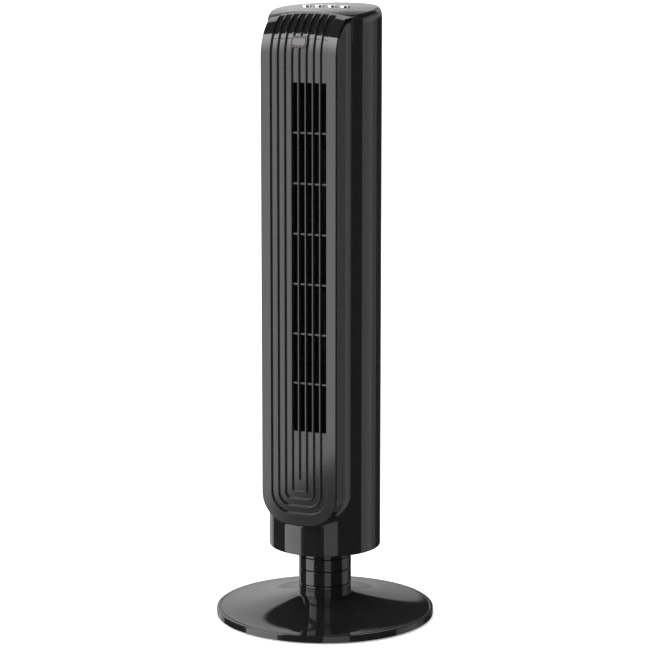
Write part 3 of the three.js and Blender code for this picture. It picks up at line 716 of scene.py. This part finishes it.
def radialCutter(radius, r0, r1, degrees, z, steps=40):
    # closed round prism pointing outwards at an angle from the front
    a = math.radians(degrees)
    out, side = (math.sin(a), -math.cos(a)), (math.cos(a), math.sin(a))
    vertices = []
    for r in (r0, r1):
        for k in range(steps):
            u, v = radius * math.cos(2 * math.pi * k / steps), radius * math.sin(2 * math.pi * k / steps)
            vertices.append((out[0] * r + side[0] * u, out[1] * r + side[1] * u, z + v))
    faces = [tuple(range(steps)), tuple(range(2 * steps - 1, steps - 1, -1))]
    faces += [(i, steps + i, steps + (i + 1) % steps, (i + 1) % steps) for i in range(steps)]
    return vertices, faces


def bakeCut(piece, cutters):
    # takes the cutters out of the piece and bakes all its modifiers into the mesh
    work = bmesh.new()
    for vertices, faces in cutters:
        made = [work.verts.new([c * mm for c in v]) for v in vertices]
        for face in faces:
            work.faces.new([made[i] for i in face])
    bmesh.ops.recalc_face_normals(work, faces=work.faces)
    mesh = bpy.data.meshes.new("cutter")
    work.to_mesh(mesh)
    work.free()
    cutter = bpy.data.objects.new("cutter", mesh)
    bpy.context.collection.objects.link(cutter)
    cut = piece.modifiers.new("cut", "BOOLEAN")
    cut.object, cut.operation, cut.solver = cutter, "DIFFERENCE", "EXACT"
    baked = bpy.data.meshes.new_from_object(piece.evaluated_get(bpy.context.evaluated_depsgraph_get()))
    piece.modifiers.clear()
    piece.data = baked
    bpy.data.objects.remove(cutter)
    baked.shade_smooth()
    baked.set_sharp_from_angle(angle=math.radians(38))


makeFrontShell()
makeRearShell()
say("housing shells made")

grille = {"halfWidth": 52.0, "bottom": 138.0, "corner": 38.5, "edge": 2.6, "depth": 7.2, "groove": 3.2,
          "pitch": 9.93, "width": 8.0, "round": 0.35, "fillet": 0.5, "sum": 191.5, "centre": 13.0,
          "ribFoot": 196.5, "low": 260.5, "high": 704.6, "rows": 7, "bar": 2.2, "fade": (52, 71)}


def ring(half, depth, back=False, edge=False):
    # one nested U: half width, depth below the face and its own lower corner
    g = grille
    if edge:
        shift = g["halfWidth"] - half
        return {"half": half, "depth": depth, "bottom": g["bottom"] + shift, "radius": g["corner"] - shift,
                "back": back, "outer": True}
    if half < 2:
        return {"half": half, "depth": depth, "bottom": g["ribFoot"] + (0.965 - half), "radius": half,
                "back": back, "outer": False}
    return {"half": half, "depth": depth, "bottom": g["sum"] - half, "radius": max(half - g["centre"], 0.8),
            "back": back, "outer": False}


def grooveEdges():
    g = grille
    return [(4 * g["pitch"] - (g["pitch"] - g["width"]) / 2 - n * g["pitch"],
             4 * g["pitch"] - (g["pitch"] - g["width"]) / 2 - n * g["pitch"] - g["width"]) for n in range(4)]


def sideLevels():
    g = grille
    pitch = (g["high"] - g["low"] + g["bar"]) / g["rows"]
    levels = []
    for row in reversed(range(g["rows"])):
        z = g["low"] + row * pitch
        levels += [z + pitch - g["bar"], z]
    return levels


rollAngles = [72.9, 71, 69, 66.5, 64, 61.5, 58.5, 55, 51.5, 48, 44, 40, 36, 32, 28, 24, 20, 16, 12, 8, 4, 1.5]


def surfacePoint(half, depth, back, angle):
    # a point of the rolled top: half is the distance from the middle, angle 0 is upright
    centreY, centreZ, reach = tower["roll"]
    a = math.radians(angle)
    outerY = centreY - reach * math.cos(a)
    x = half
    if half > grille["halfWidth"] - 3 and outerY > -60:
        limit = math.sqrt(max(tower["radius"] ** 2 - outerY ** 2, 0))
        x = half + max(limit - grille["halfWidth"], 0)
    b = float(rollHeight(x))
    if back:
        return x, centreY - (reach - depth) * math.cos(a), centreZ + (b - depth) * math.sin(a)
    first, last = grille["fade"]
    sunk = min(max((last - angle) / (last - first), 0), 1)
    drop = depth * sunk * sunk * (3 - 2 * sunk)
    return x, centreY - (reach - drop) * math.cos(a), centreZ + (b - drop) * math.sin(a)


def ringPoints(r):
    face = tower["roll"][0] - tower["roll"][2]
    half, depth = r["half"], r["depth"]
    edgeDepth = r["back"] or r["outer"]
    left = [surfacePoint(half, depth, edgeDepth, angle) for angle in rollAngles]
    left += [(half, face + depth, z) for z in [tower["roll"][1]] + sideLevels() + [200]]
    cx, cz = half - r["radius"], r["bottom"] + r["radius"]
    arcSteps = 14
    for k in range(arcSteps + 1):
        a = math.radians(90 * k / arcSteps)
        left.append((cx + r["radius"] * math.cos(a), face + depth, cz - r["radius"] * math.sin(a)))
    whole = [(-x, y, z) for x, y, z in left]
    return whole + [(x, y, z) for x, y, z in left[::-1]]


def makeGrille():
    g = grille
    f, e, h = g["round"], g["fillet"], 0.12
    edges = grooveEdges()
    plate = [(49.4, g["depth"]), (49.4, g["edge"]), (51.2, g["edge"]), (51.5, 2.4), (52.0, 0.3), (51.93, 0.08),
             (51.75, 0), (51.5, 0)]
    rings = [ring(half, depth, True, True) for half, depth in plate]
    floors, slotRings = [], []
    for outer, inner in edges:
        rings += [ring(outer + f + h, 0), ring(outer + f, 0), ring(outer + 0.29 * f, 0.29 * f), ring(outer, f)]
        slotRings.append([len(rings)])
        rings += [ring(outer, g["groove"] - e), ring(outer - 0.29 * e, g["groove"] - 0.29 * e)]
        floors.append(len(rings))
        rings += [ring(half, g["groove"]) for half in (outer - e, outer - e - h, inner + e + h, inner + e)]
        rings += [ring(inner + 0.29 * e, g["groove"] - 0.29 * e), ring(inner, g["groove"] - e)]
        slotRings[-1].append(len(rings) - 1)
        rings += [ring(inner, f), ring(inner - 0.29 * f, 0.29 * f), ring(inner - f, 0), ring(inner - f - h, 0)]
    frontCount = len(rings)
    backOf = {0: 0}
    backs = [0]
    for n, (outer, inner) in enumerate(edges):
        for key, half in ((slotRings[n][0], outer), (slotRings[n][1], inner)):
            backOf[key] = len(rings)
            backs.append(len(rings))
            rings.append(ring(half, g["depth"], True, False))
    points = [ringPoints(r) for r in rings]
    count = len(points[0])
    vertices = scaled(points)
    rollRows = len(rollAngles) + 1
    leftSlots = {rollRows + 2 * k for k in range(g["rows"])}
    rightSlots = {count - 2 - j for j in leftSlots}

    def at(r, j):
        return r * count + j

    def openIn(n, j):
        return (j in leftSlots and n == 3) or j in rightSlots

    faces = []
    strips = [(r, r + 1) for r in range(frontCount - 1)]
    inSlot = {}
    for n, (first, last) in enumerate(slotRings):
        for r in range(first, last):
            inSlot[r] = n
    for r, s in strips:
        for j in range(count - 1):
            if r in inSlot and openIn(inSlot[r], j):
                continue
            faces.append((at(r, j), at(r, j + 1), at(s, j + 1), at(s, j)))
    for k in range(len(backs) - 1):
        r, s = backs[k], backs[k + 1]
        for j in range(count - 1):
            if k % 2 == 1 and openIn(k // 2, j):
                continue
            faces.append((at(s, j), at(s, j + 1), at(r, j + 1), at(r, j)))
    for n, (first, last) in enumerate(slotRings):
        a, b = backOf[first], backOf[last]
        for j in range(count - 1):
            if not openIn(n, j):
                continue
            faces.append((at(first, j), at(first, j + 1), at(a, j + 1), at(a, j)))
            faces.append((at(b, j), at(b, j + 1), at(last, j + 1), at(last, j)))
            for end in (j, j + 1):
                faces.append(tuple(at(r, end) for r in range(first, last + 1)) + (at(b, end), at(a, end)))
    ladders = (frontCount - 1, backs[-1])
    for r in ladders:
        for j in range(count // 2 - 1):
            faces.append((at(r, j), at(r, j + 1), at(r, count - 2 - j), at(r, count - 1 - j)))
    for j in (0, count - 1):
        order = [at(r, j) for r in range(frontCount)] + [at(r, j) for r in reversed(backs[1:])]
        faces.append(tuple(order))
    faces.append((at(frontCount - 1, 0), at(frontCount - 1, count - 1), at(backs[-1], count - 1),
                  at(backs[-1], 0)))
    addPiece("frontGrille", vertices, faces, grilleBlack, "tower", "grille_plastic", ["front_grille"], 55)


makeGrille()
say("front grille made")

window = {"half": 9.2, "halfHeight": 4.8, "z": 755, "frame": 2.2, "corner": 2.0}


def rollDepthPoint(x, z, depth):
    centreY, centreZ, reach = tower["roll"]
    b = float(rollHeight(abs(x)))
    share = min(max((z - centreZ) / b, 0), 1)
    return x, centreY - (reach - depth) * math.sqrt(1 - share ** 2), z


def roundedLoop(halfX, halfZ, corner, z0, steps=6):
    points = []
    for cx, cz, first in ((1, 1, 0), (-1, 1, 90), (-1, -1, 180), (1, -1, 270)):
        for k in range(steps + 1):
            a = math.radians(first + 90 * k / steps)
            points.append((cx * (halfX - corner) + corner * math.cos(a),
                           z0 + cz * (halfZ - corner) + corner * math.sin(a)))
    return points


def loopPiece(name, loops, material, slotName, nodeNames, closedRing):
    # loops are lists of points of equal length; a ring closes on itself, a plate is capped
    count, total = len(loops[0]), len(loops)
    faces = loopSides(count, total, closedRing)
    if not closedRing:
        faces += endCaps(count, total)
    addPiece(name, scaled(loops), faces, material, "tower", slotName, nodeNames, 50)


def makeWindow():
    w = window
    outerHalf, outerHeight = w["half"] + w["frame"], w["halfHeight"] + w["frame"]
    frameLoops = []
    for inset, depth in ((0, 5.3), (0, -0.1), (0.3, -0.4), (1.5, -0.4), (1.8, -0.1), (1.8, 5.3)):
        flat = roundedLoop(outerHalf - inset, outerHeight - inset, 3 - inset * 0.5, w["z"])
        frameLoops.append([rollDepthPoint(x, z, depth) for x, z in flat])
    loopPiece("windowFrame", frameLoops, grilleBlack, "grille_plastic", [], True)
    lensLoops = []
    for inset, depth in ((0, 4.6), (0, -0.05), (0.3, -0.2), (1.2, -0.22)):
        flat = roundedLoop(w["half"] - inset, w["halfHeight"] - inset, w["corner"] - inset * 0.4, w["z"])
        lensLoops.append([rollDepthPoint(x, z, depth) for x, z in flat])
    loopPiece("windowLens", lensLoops, smoke, "window_smoke", ["ir_window"], False)


makeWindow()
say("window made")

keys = {"count": 4, "pitch": 17.7, "half": 7.5, "depth": 4.6, "y": 2.0, "gap": 0.4}


def makeCap():
    # rings of points from the outer edge inwards; the front edge is the straight crease
    creaseAngle = math.degrees(math.acos(-tower["creaseY"] / tower["radius"]))
    angles = list(np.linspace(creaseAngle + 0.15, 360 - creaseAngle - 0.15, 150))
    signed = [a if a <= 180 else a - 360 for a in angles]
    crease = tower["creaseY"] + 0.1
    middle = (0.0, 12.0)

    def edgeLoop(sweep, drop=0.0, inset=0.0):
        loop = []
        for a in signed:
            x, y, z = shoulderPoint(a, sweep)
            r = math.hypot(x, y)
            x, y = x * (r - inset) / r, y * (r - inset) / r
            loop.append((x, max(y, crease), z - drop))
        x0, x1 = loop[-1][0], loop[0][0]
        for k in range(1, 40):
            x = x0 + (x1 - x0) * k / 40
            loop.append((x, crease, float(roofHeight(x, crease)) - drop))
        return loop

    outer = [edgeLoop(90, 2.8, 0.3), edgeLoop(80, 0.9), edgeLoop(80), edgeLoop(86), edgeLoop(90)]
    roof = []
    rim = outer[-1]
    for share in (0.985, 0.96, 0.9, 0.8, 0.68, 0.55, 0.42, 0.3, 0.18, 0.08):
        loop = []
        for x, y, _ in rim:
            px, py = middle[0] + (x - middle[0]) * share, middle[1] + (y - middle[1]) * share
            loop.append((px, py, float(roofHeight(px, py))))
        roof.append(loop)
    under = [[(x, y, z - 2.6) for x, y, z in roof[k]] for k in (9, 5, 1)]
    loops = outer + roof
    count = len(rim)
    vertices = scaled(loops + under)
    faces = loopSides(count, len(loops))
    top = (len(loops) - 1) * count
    faces.append(tuple(range(top, top + count)))
    chain = [len(loops), len(loops) + 1, len(loops) + 2, 0]
    faces.append(tuple(range(chain[0] * count, chain[0] * count + count)))
    for a, b in zip(chain, chain[1:]):
        faces += [(a * count + i, a * count + (i + 1) % count, b * count + (i + 1) % count, b * count + i)
                  for i in range(count)]
    cap = addPiece("topCap", vertices, faces, glossBlack, "tower", "gloss_shell", ["top_cap"], 40, False)
    bakeCut(cap, [keyCutter(cx) for cx in keyCentres()])


def keyCentres():
    return [(i - (keys["count"] - 1) / 2) * keys["pitch"] for i in range(keys["count"])]


def ovalLoop(cx, half, depth, heightAt, steps=48):
    loop = []
    for k in range(steps):
        a = 2 * math.pi * k / steps
        x, y = cx + half * math.cos(a), keys["y"] + depth * math.sin(a)
        loop.append((x, y, heightAt(x, y)))
    return loop


def keyCutter(cx, steps=48):
    vertices = []
    half, depth = keys["half"] + keys["gap"], keys["depth"] + keys["gap"]
    for z in (770, 820):
        vertices += ovalLoop(cx, half, depth, lambda x, y: z, steps)
    faces = [tuple(range(steps)), tuple(range(2 * steps - 1, steps - 1, -1))]
    faces += [(k, steps + k, steps + (k + 1) % steps, (k + 1) % steps) for k in range(steps)]
    return vertices, faces


def makeKeys():
    for i, cx in enumerate(keyCentres()):
        base = float(roofHeight(cx, keys["y"]))
        levels = [(0, -6.0), (0, 0.9), (0.25, 1.35), (0.7, 1.6), (1.3, 1.55), (2.4, 1.3), (3.6, 1.15)]
        loops = []
        for inset, rise in levels:
            tilt = 0.08 if rise > 0 else 0
            loops.append(ovalLoop(cx, keys["half"] - inset, keys["depth"] - inset,
                                  lambda x, y: base + rise + (y - keys["y"]) * tilt))
        count, key = len(loops[0]), f"key_{i + 1}"
        faces = endCaps(count, len(loops)) + loopSides(count, len(loops))
        addPiece(f"keyTop_{i + 1}", scaled(loops), faces, chrome, key, "key_metal", [key], 60)


makeCap()
makeKeys()
say("top cap and keys made")

class Graph(Shader):
    def __init__(self, name, inputs):
        tree = bpy.data.node_groups.new(name, "GeometryNodeTree")
        super().__init__(tree)
        self.sockets = {}
        for key, (kind, value) in inputs.items():
            socket = tree.interface.new_socket(key, in_out="INPUT", socket_type="NodeSocket" + kind)
            self.sockets[key] = (socket.identifier, value)
        tree.interface.new_socket("Geometry", in_out="OUTPUT", socket_type="NodeSocketGeometry")
        self.source = tree.nodes.new("NodeGroupInput")
        self.target = tree.nodes.new("NodeGroupOutput")

    def given(self, key):
        return Value(self, self.source.outputs[key])

    def place(self, x, y, z):
        made = self.node("ShaderNodeCombineXYZ", {}, {0: x, 1: y, 2: z})
        return made.outputs[0]

    def finish(self, geometry, material):
        joined = self.node("GeometryNodeRealizeInstances", {}, {0: geometry})
        given = self.node("GeometryNodeSetMaterial", {}, {"Geometry": joined.outputs[0], "Material": material})
        self.feed(self.target.inputs[0], given.outputs[0])

    def bake(self, name):
        carrier = bpy.data.objects.new(name, bpy.data.meshes.new(name))
        bpy.context.collection.objects.link(carrier)
        modifier = carrier.modifiers.new("nodes", "NODES")
        modifier.node_group = self.tree
        for identifier, value in self.sockets.values():
            modifier[identifier] = value
        mesh = bpy.data.meshes.new_from_object(carrier.evaluated_get(bpy.context.evaluated_depsgraph_get()))
        carrier.modifiers.clear()
        bpy.data.objects.remove(carrier)
        return mesh


def gridPositions(g, columns):
    # splits the point index into a column and a row number
    index = Value(g, g.node("GeometryNodeInputIndex").outputs[0])
    row = g.math("FLOOR", index / columns)
    return index - row * columns, row


def makeInletSlats():
    pitch = (inlet["top"] - inlet["bottom"]) / inlet["rows"]
    step = 2 * inlet["halfAngle"] / inlet["slats"]
    g = Graph("inletSlats", {"Slats": ("Int", inlet["slats"] - 1), "Rows": ("Int", inlet["rows"]),
                             "Step": ("Float", math.radians(step)), "Radius": ("Float", 71.1 * mm),
                             "Row pitch": ("Float", pitch * mm), "Low": ("Float", inlet["bottom"] * mm),
                             "Bar": ("Float", inlet["bar"] * mm), "Width": ("Float", inlet["slatWidth"] * mm),
                             "Depth": ("Float", 2.6 * mm), "Round": ("Float", 0.6 * mm)})
    slats, rows, step = g.given("Slats"), g.given("Rows"), g.given("Step")
    column, row = gridPositions(g, slats)
    angle = (column - (slats - 1) / 2) * step
    radius = g.given("Radius")
    low = g.given("Low") + g.given("Bar") * 0.35 + row * g.given("Row pitch")
    points = g.node("GeometryNodePoints", {}, {"Count": slats * rows, "Position": g.place(
        g.math("SINE", angle) * radius, g.math("COSINE", angle) * radius, low)})
    outline = g.node("GeometryNodeCurvePrimitiveQuadrilateral", {},
                     {"Width": g.given("Width"), "Height": g.given("Depth")})
    softened = g.node("GeometryNodeFilletCurve", {"mode": "POLY"},
                      {"Curve": outline.outputs[0], "Radius": g.given("Round"), "Count": 3})
    length = g.given("Row pitch") - g.given("Bar") * 0.7
    spine = g.node("GeometryNodeCurvePrimitiveLine", {}, {"End": g.place(0, 0, length)})
    slat = g.node("GeometryNodeCurveToMesh", {}, {"Curve": spine.outputs[0],
                                                  "Profile Curve": softened.outputs[0], "Fill Caps": True})
    facing = g.node("FunctionNodeAxisAngleToRotation", {}, {"Axis": (0, 0, 1), "Angle": 0 - angle})
    spread = g.node("GeometryNodeInstanceOnPoints", {}, {"Points": points.outputs[0],
                                                        "Instance": slat.outputs[0],
                                                        "Rotation": facing.outputs[0]})
    g.finish(spread.outputs[0], glossBlack)
    finishPiece("inletSlats", g.bake("inletSlats"), glossBlack, "tower")


impeller = {"x": 6, "y": 6, "radius": 38, "bottom": 250, "section": 91.2, "sections": 5, "blades": 34,
            "chord": 9.2, "bend": 7.4, "thick": 0.8, "stagger": 5.3}


def makeImpeller():
    i = impeller
    g = Graph("impellerBlades", {"Blades": ("Int", i["blades"]), "Sections": ("Int", i["sections"]),
                                 "Circle": ("Float", (i["radius"] - 5) * mm),
                                 "Chord": ("Float", i["chord"] * mm),
                                 "Bend": ("Float", i["bend"] * mm), "Thickness": ("Float", i["thick"] * mm),
                                 "Section": ("Float", i["section"] * mm), "Low": ("Float", i["bottom"] * mm),
                                 "Stagger": ("Float", math.radians(i["stagger"]))})
    blades, section, bend = g.given("Blades"), g.given("Section"), g.given("Bend")
    column, row = gridPositions(g, blades)
    angle = column / blades * (2 * math.pi) + row * g.given("Stagger")
    circle = g.given("Circle")
    points = g.node("GeometryNodePoints", {}, {"Count": blades * g.given("Sections"), "Position": g.place(
        g.math("COSINE", angle) * circle + i["x"] * mm, g.math("SINE", angle) * circle + i["y"] * mm,
        g.given("Low") + (row + 0.5) * section)})
    sheet = g.node("GeometryNodeMeshCube", {}, {"Size": g.place(g.given("Chord"), g.given("Thickness"),
                                                                section - 0.0014), "Vertices X": 9})
    position = g.node("ShaderNodeSeparateXYZ", {}, {0: g.node("GeometryNodeInputPosition").outputs[0]})
    along, across, up = (Value(g, position.outputs[k]) for k in range(3))
    turn = along / bend
    reach = bend + across
    bowed = g.node("GeometryNodeSetPosition", {}, {"Geometry": sheet.outputs[0], "Position": g.place(
        g.math("SINE", turn) * reach, g.math("COSINE", turn) * reach - bend, up)})
    rotated = g.node("FunctionNodeAxisAngleToRotation", {}, {"Axis": (0, 0, 1), "Angle": angle + 0.55})
    spread = g.node("GeometryNodeInstanceOnPoints", {}, {"Points": points.outputs[0],
                                                        "Instance": bowed.outputs[0],
                                                        "Rotation": rotated.outputs[0]})
    g.finish(spread.outputs[0], innerBlack)
    sections = [f"impeller_section_{k + 1}" for k in range(i["sections"])]
    finishPiece("impellerBlades", g.bake("impellerBlades"), innerBlack, "impeller", sections)
    rings = ([], [])
    for k in range(i["sections"]):
        z = i["bottom"] + k * i["section"]
        bore = 4.3 if k == 0 else 22
        corners = [(bore, z), (i["radius"], z), (i["radius"], z + 2), (bore, z + 2)]
        profile = rounded(corners, [0.3, 0.6, 0.6, 0.3], 3)
        addRings(rings, turned(profile, 72), i["x"] * mm, i["y"] * mm)
    addPiece("impellerRings", *rings, innerBlack, "impeller", "matte_inner")


def addRings(rings, shape, dx, dy):
    start = len(rings[0])
    rings[0].extend((x + dx, y + dy, z) for x, y, z in shape[0])
    rings[1].extend(tuple(start + k for k in face) for face in shape[1])


makeInletSlats()
makeImpeller()
say("inlet slats and impeller made")


def onCylinder(x, z, sunk):
    return x, math.sqrt(tower["radius"] ** 2 - x ** 2) - sunk, z


def makeHandleCup():
    floor = tower["radius"] - handle["depth"]
    loops = [[(x, floor - 2.1, z) for x, z in handleOutline(1.2)],
             [(x, floor - 1.2, z) for x, z in handleOutline(2.1)],
             [onCylinder(x, z, 0.6) for x, z in handleOutline(2.1)],
             [onCylinder(x, z, 0.1) for x, z in handleOutline(1.9)],
             [onCylinder(x, z, 0.0) for x, z in handleOutline(1.3)],
             [onCylinder(x, z, 0.3) for x, z in handleOutline(0.4)],
             [onCylinder(x, z, 1.2) for x, z in handleOutline(0.0)]]
    loops += [[(x, floor + 3, z) for x, z in handleOutline(0)],
              [(x, floor + 0.9, z) for x, z in handleOutline(-0.9)],
              [(x, floor, z) for x, z in handleOutline(-3)]]
    loopPiece("handleCup", loops, innerBlack, "matte_inner", ["handle_cup"], False)


def aimed(profile, segments, degrees, z):
    # a turned shape laid along the outward direction at an angle from the front
    vertices, faces = turned(profile, segments)
    a = math.radians(degrees)
    out, side = (math.sin(a), -math.cos(a)), (math.cos(a), math.sin(a))
    return [(side[0] * x + out[0] * h, side[1] * x + out[1] * h, y + z * mm) for x, y, h in vertices], faces


def makeGland():
    r = tower["radius"]
    profile = rounded([(3.4, r - 7), (10, r - 7), (10, r - 4), (8, r - 4), (8, r), (10.4, r), (10.4, r + 1.4),
                       (8.6, r + 2.2), (7.4, r + 1.5), (6.2, r + 2.2), (5.0, r + 1.5), (3.4, r + 2.2)],
                      [0.3, 0.5, 0.5, 0.2, 0.2, 0.4, 0.5, 0.4, 0.4, 0.4, 0.4, 0.4], 3)
    vertices, faces = aimed(profile, 64, 180, 150)
    addPiece("cordGland", vertices, faces, softRubber, "tower", "soft_rubber", ["cord_gland"])


def screwShape(head, shank, low, high, segments=40):
    # pan head with a cross recess, and its shank, as one closed skin: points (x, y, z) with z outwards
    stations = [(shank, low), (shank, high - 1.2), (head, high - 1.2), (head, high - 0.7),
                (head * 0.93, high - 0.35), (head * 0.8, high - 0.12), (head * 0.62, high - 0.02)]
    stations += [(head * share, high) for share in (0.5, 0.38, 0.27, 0.2, 0.12)]
    vertices = []
    for r, z in stations:
        for k in range(segments):
            a = 2 * math.pi * k / segments
            x, y = r * math.cos(a), r * math.sin(a)
            slot = min(abs(x), abs(y)) < 0.11 * head and r < 0.55 * head
            vertices.append((x, y, z - (0.9 * (1 - r / (0.75 * head)) if slot else 0)))
    faces = gridFaces(len(stations), segments, True)
    faces += [tuple(range(segments)), tuple(range((len(stations) - 1) * segments, len(stations) * segments))]
    return vertices, faces


def makeRearScrews():
    r = tower["radius"]
    number = 0
    for side in (-1, 1):
        a = math.radians(side * rearScrew["angle"])
        out, across = (math.sin(a), -math.cos(a)), (math.cos(a), math.sin(a))
        for z in rearScrew["heights"]:
            number += 1
            vertices, faces = screwShape(rearScrew["head"], 1.6, r - 10, r - 0.2)
            placed = [((across[0] * x + out[0] * h) * mm, (across[1] * x + out[1] * h) * mm, (y + z) * mm)
                      for x, y, h in vertices]
            addPiece(f"rearScrew_{number}", placed, faces, zinc, "tower", "zinc_steel",
                     [f"rear_screw_{number}"])


def makeUndersideScrews():
    for k in range(4):
        a = math.radians(45 + 90 * k)
        cx, cy = 20 * math.cos(a), 20 * math.sin(a)
        vertices, faces = screwShape(3.2, 1.7, -12, -0.5)
        placed = [((cx + x) * mm, (cy - y) * mm, -h * mm) for x, y, h in vertices]
        addPiece(f"undersideScrew_{k + 1}", placed, faces, zinc, "base", "zinc_steel")


def makeFeet():
    profile = rounded([(0.0, 0.3), (2.0, 0.3), (2.4, 0.0), (5.4, 0.0), (5.8, 0.3), (6.4, 0.3), (6.8, 0.0),
                       (8.1, 0.0), (9.0, 0.7), (9.0, 1.5), (5.0, 1.5), (5.0, 3.4), (0.0, 3.4)],
                      [0, 0.1, 0.1, 0.1, 0.1, 0.1, 0.1, 0.3, 0.3, 0.1, 0.1, 0.2, 0], 3)
    for k in range(5):
        a = math.radians(90 + 72 * k)
        foot = ([], [])
        addRings(foot, turned(profile, 48), 122 * mm * math.cos(a), 122 * mm * math.sin(a))
        addPiece(f"footPad_{k + 1}", *foot, softRubber, "base", "soft_rubber", [f"foot_{k + 1}"])


makeHandleCup()
makeGland()
makeRearScrews()
makeUndersideScrews()
makeFeet()
say("handle, gland, screws and feet made")

finishes = {"gloss_shell": glossBlack, "grille_plastic": grilleBlack, "window_smoke": smoke,
            "key_metal": chrome, "matte_inner": innerBlack, "zinc_steel": zinc, "soft_rubber": softRubber,
            "circuit_board": green, "nylon_white": nylon}


def finishNodes():
    for entry in frame["record"]["subparts"]:
        node = nodes[entry["node"]]
        for slotIndex in range(len(node.material_slots)):
            node.material_slots[slotIndex].material = finishes[entry["material_slot"]]


finishNodes()
say("finishes given")
